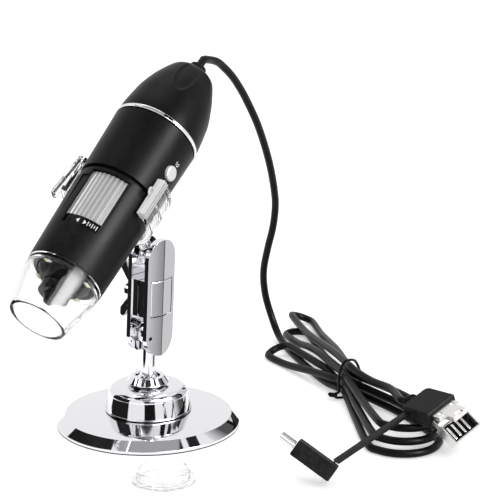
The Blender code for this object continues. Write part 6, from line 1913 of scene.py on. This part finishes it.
@dataclass
class Studio:
    """White floor and world, soft lamps, reflection cards and the camera."""

    lens: float = 151.2
    viewpoint: Triple = (0.03854, -0.75, 0.27757)
    pitch: float = 74.4
    daylight: float = 0.75
    floor_colour: float = 0.8
    floor_glow: float = 0.40
    floor_size: float = 3.0
    floor_drop: float = 0.00005
    lamp_distance: float = 1.1
    lamp_centre: Triple = (0.0, 0.0, 0.06)

    LAMPS = (
        Lamp("key", -62.0, 38.0, 0.45, 3.2),
        Lamp("left", 190.0, 30.0, 0.6, 2.0),
        Lamp("top", 90.0, 75.0, 0.7, 2.2),
    )
    ARM = (0.002, 0.0, 0.05)
    NOSE = (-0.0242, -0.0581, 0.0702)
    CARDS = (
        Card("softbox", -32.6, 25.7, 0.44, 0.74, 38.0, roll=-61.0, fade=0.8),
        Card("card_left", 181.0, 47.0, 0.55, 0.35, 0.02, through=True),
        Card("card_right", -11.0, 55.0, 0.16, 0.36, 0.02, through=True),
        Card("card_right_back", 55.0, 14.0, 0.3, 0.35, 0.02, through=True),
        Card("card_over", -92.0, 48.0, 0.6, 0.2, 0.04, through=True),
        Card("card_ceiling", -85.0, 70.0, 0.95, 0.34, 0.41, through=True),
        Card("card_camera", -92.0, 25.0, 0.30, 0.28, 0.02, fade=0.15),
        Card("card_slit", -37.0, 48.0, 0.16, 0.22, 0.01, distance=0.84, through=True),
        Card("card_front_low", -83.0, 6.0, 0.48, 0.34, 0.01, fade=0.1),
        Card("card_left_low", 205.0, 18.0, 0.5, 0.4, 0.02, fade=0.4, through=True),
        Card("arm_grey", -8.0, -17.0, 0.024, 0.058, 0.85, 0.10, 0.052, centre=ARM),
        Card("arm_light", 29.0, -17.0, 0.024, 0.058, 0.70, None, 0.052, centre=ARM),
        Card("arm_gap", 10.5, -17.0, 0.014, 0.058, 0.01, None, 0.056, centre=ARM),
        Card("arm_slot", 192.5, -13.0, 0.09, 0.09, 0.015, None, 0.09, centre=ARM),
        Card("ring_break", -31.9, 50.9, 0.011, 0.009, 0.003, None, 0.020, roll=-66.2,
             centre=(0.0093, -0.0110, 0.1207), near=0.03),
        Card("ring_grey", -100.5, 81.5, 0.0323, 0.009, 0.42, None, 0.024, roll=-18.8,
             centre=(0.0039, -0.0098, 0.1234), near=0.035),
        Card("nose_dark", -113.5, 51.5, 0.085, 0.055, 0.02, None, 0.035, roll=-12.4, fade=0.3,
             centre=(-0.0278, -0.0580, 0.0727), near=0.07),
        Card("nose_back", -48.1, 15.6, 0.085, 0.07, 0.03, None, 0.050, roll=-47.8,
             centre=NOSE, near=0.064),
        Card("nose_band", -48.1, 15.6, 0.058, 0.06, 32.0, None, 0.045, roll=-47.8, fade=0.85,
             centre=NOSE, near=0.064),
    )

    def build(self) -> None:
        """Set up the studio."""
        self._camera()
        self._world()
        self._floor()
        for lamp in self.LAMPS:
            self._lamp(lamp)
        for card in self.CARDS:
            self._card(card)
        bpy.context.scene.view_settings.view_transform = "Standard"

    def _camera(self) -> None:
        """Put the camera at the photograph's viewpoint."""
        data = bpy.data.cameras.new("camera")
        data.sensor_width = 36.0
        data.sensor_fit = "HORIZONTAL"
        data.lens = self.lens
        data.clip_end = 20.0
        camera = bpy.data.objects.new("camera", data)
        camera.location = self.viewpoint
        camera.rotation_euler = (radians(self.pitch), 0.0, 0.0)
        bpy.context.scene.collection.objects.link(camera)
        bpy.context.scene.camera = camera

    @staticmethod
    def _bare(made: Union[bpy.types.Material, bpy.types.World]) -> Wiring:
        """Return the wiring of a material or world, with its nodes taken out."""
        made.use_nodes = True
        made.node_tree.nodes.clear()
        return Wiring(made.node_tree)

    @staticmethod
    def _seen(wiring: Wiring) -> Socket:
        """Return a socket that is 1 for camera, glossy and transmission rays."""
        path = wiring.add("ShaderNodeLightPath")
        first = wiring.math("MAXIMUM", path.outputs["Is Camera Ray"], path.outputs["Is Glossy Ray"])
        return wiring.math("MAXIMUM", first, path.outputs["Is Transmission Ray"])

    def _world(self) -> None:
        """Make the world white to the eye and a soft even light."""
        world = bpy.data.worlds.new("studio")
        bpy.context.scene.world = world
        wiring = self._bare(world)
        lit, white = (wiring.add("ShaderNodeBackground", {"Color": WHITE, "Strength": level})
                      for level in (self.daylight, 1.0))
        pick = wiring.add("ShaderNodeMixShader", {
            "Fac": self._seen(wiring), 1: lit.outputs[0], 2: white.outputs[0]})
        wiring.add("ShaderNodeOutputWorld", {"Surface": pick.outputs[0]})

    def _floor(self) -> None:
        """Lay a white floor that keeps a faint shadow."""
        made = bpy.data.materials.new("studio_floor")
        wiring = self._bare(made)
        paper = wiring.add("ShaderNodeBsdfDiffuse", {"Color": (*[self.floor_colour] * 3, 1.0)})
        glow = wiring.add("ShaderNodeEmission", {
            "Strength": wiring.math("MULTIPLY", self._seen(wiring), self.floor_glow)})
        both = wiring.add("ShaderNodeAddShader", {0: paper.outputs[0], 1: glow.outputs[0]})
        wiring.add("ShaderNodeOutputMaterial", {"Surface": both.outputs[0]})
        shape = bmesh.new()
        bmesh.ops.create_grid(shape, x_segments=1, y_segments=1, size=self.floor_size)
        floor = solid("floor", shape, Matrix.Translation((0.0, 0.0, -self.floor_drop)))
        floor.data.materials.append(made)

    def _lamp(self, lamp: Lamp) -> None:
        """Hang a soft lamp that faces the object.

        Args:
            lamp: The lamp.
        """
        data = bpy.data.lights.new(lamp.name, "AREA")
        data.shape = "SQUARE"
        data.size = lamp.size
        data.energy = lamp.power
        made = bpy.data.objects.new(lamp.name, data)
        out = toward(lamp.azimuth, lamp.elevation)
        made.location = out * self.lamp_distance + Vector(self.lamp_centre)
        made.rotation_euler = out.to_track_quat("Z", "Y").to_euler()
        bpy.context.scene.collection.objects.link(made)

    def _glow(self, card: Card) -> bpy.types.Material:
        """Return a card's material: an even or graded glow whose edges fade away.

        Args:
            card: The card.

        Returns:
            The material.
        """
        made = bpy.data.materials.new(card.name)
        wiring = self._bare(made)
        place = wiring.add("ShaderNodeSeparateXYZ", {
            0: wiring.add("ShaderNodeTexCoord").outputs["Object"]})
        tone: Feed = card.tone
        if card.end_tone is not None:
            tone = wiring.spread(place.outputs["X"], -card.width / 2, 0.0, card.tone, card.end_tone)
        surface = wiring.add("ShaderNodeEmission", {"Strength": tone}).outputs[0]
        shares = []
        if card.near > 0.0:
            path = wiring.add("ShaderNodeLightPath")
            shares.append(wiring.math("LESS_THAN", path.outputs["Ray Length"], card.near))
        if card.fade > 0.0:
            for label, size in (("X", card.width), ("Y", card.height)):
                shares.append(wiring.spread(
                    wiring.math("ABSOLUTE", place.outputs[label]), size / 2,
                    size / 2 * (1.0 - card.fade), kind="SMOOTHSTEP"))
        if shares:
            level = shares[0]
            for share in shares[1:]:
                level = wiring.math("MULTIPLY", level, share)
            gone = wiring.add("ShaderNodeBsdfTransparent")
            surface = wiring.add("ShaderNodeMixShader", {
                "Fac": level, 1: gone.outputs[0], 2: surface}).outputs[0]
        wiring.add("ShaderNodeOutputMaterial", {"Surface": surface})
        return made

    def _card(self, card: Card) -> None:
        """Hang a card that only reflections see.

        Args:
            card: The card.
        """
        away = toward(card.azimuth, card.elevation)
        shape = bmesh.new()
        bmesh.ops.create_grid(shape, x_segments=1, y_segments=1, size=0.5)
        bmesh.ops.scale(shape, vec=(card.width, card.height, 1.0), verts=shape.verts)
        flag = solid(card.name, shape, Place.UPRIGHT)
        flag.matrix_world = (Matrix.Translation(away * card.distance + Vector(card.centre))
                             @ away.to_track_quat("Z", "Y").to_matrix().to_4x4()
                             @ turn(card.roll, "Z"))
        flag.data.materials.append(self._glow(card))
        flag.visible_camera = False
        flag.visible_diffuse = False
        flag.visible_shadow = False
        flag.visible_volume_scatter = False
        flag.visible_transmission = card.through


def main() -> None:
    """Build every sub-assembly in order."""
    logging.basicConfig(level=logging.INFO, format="%(name)s %(message)s")
    Studio().build()
    fittings = Plug().build() + Adapter().build()
    Cord(fittings=tuple(fittings)).build()
    for part in (Base(), BallJoint(), ClampArm(), Clip(), Barrel(), Nose(), FocusWheel(),
                 SnapButton(), TipCap()):
        part.build()


if __name__ == "__main__":
    main()
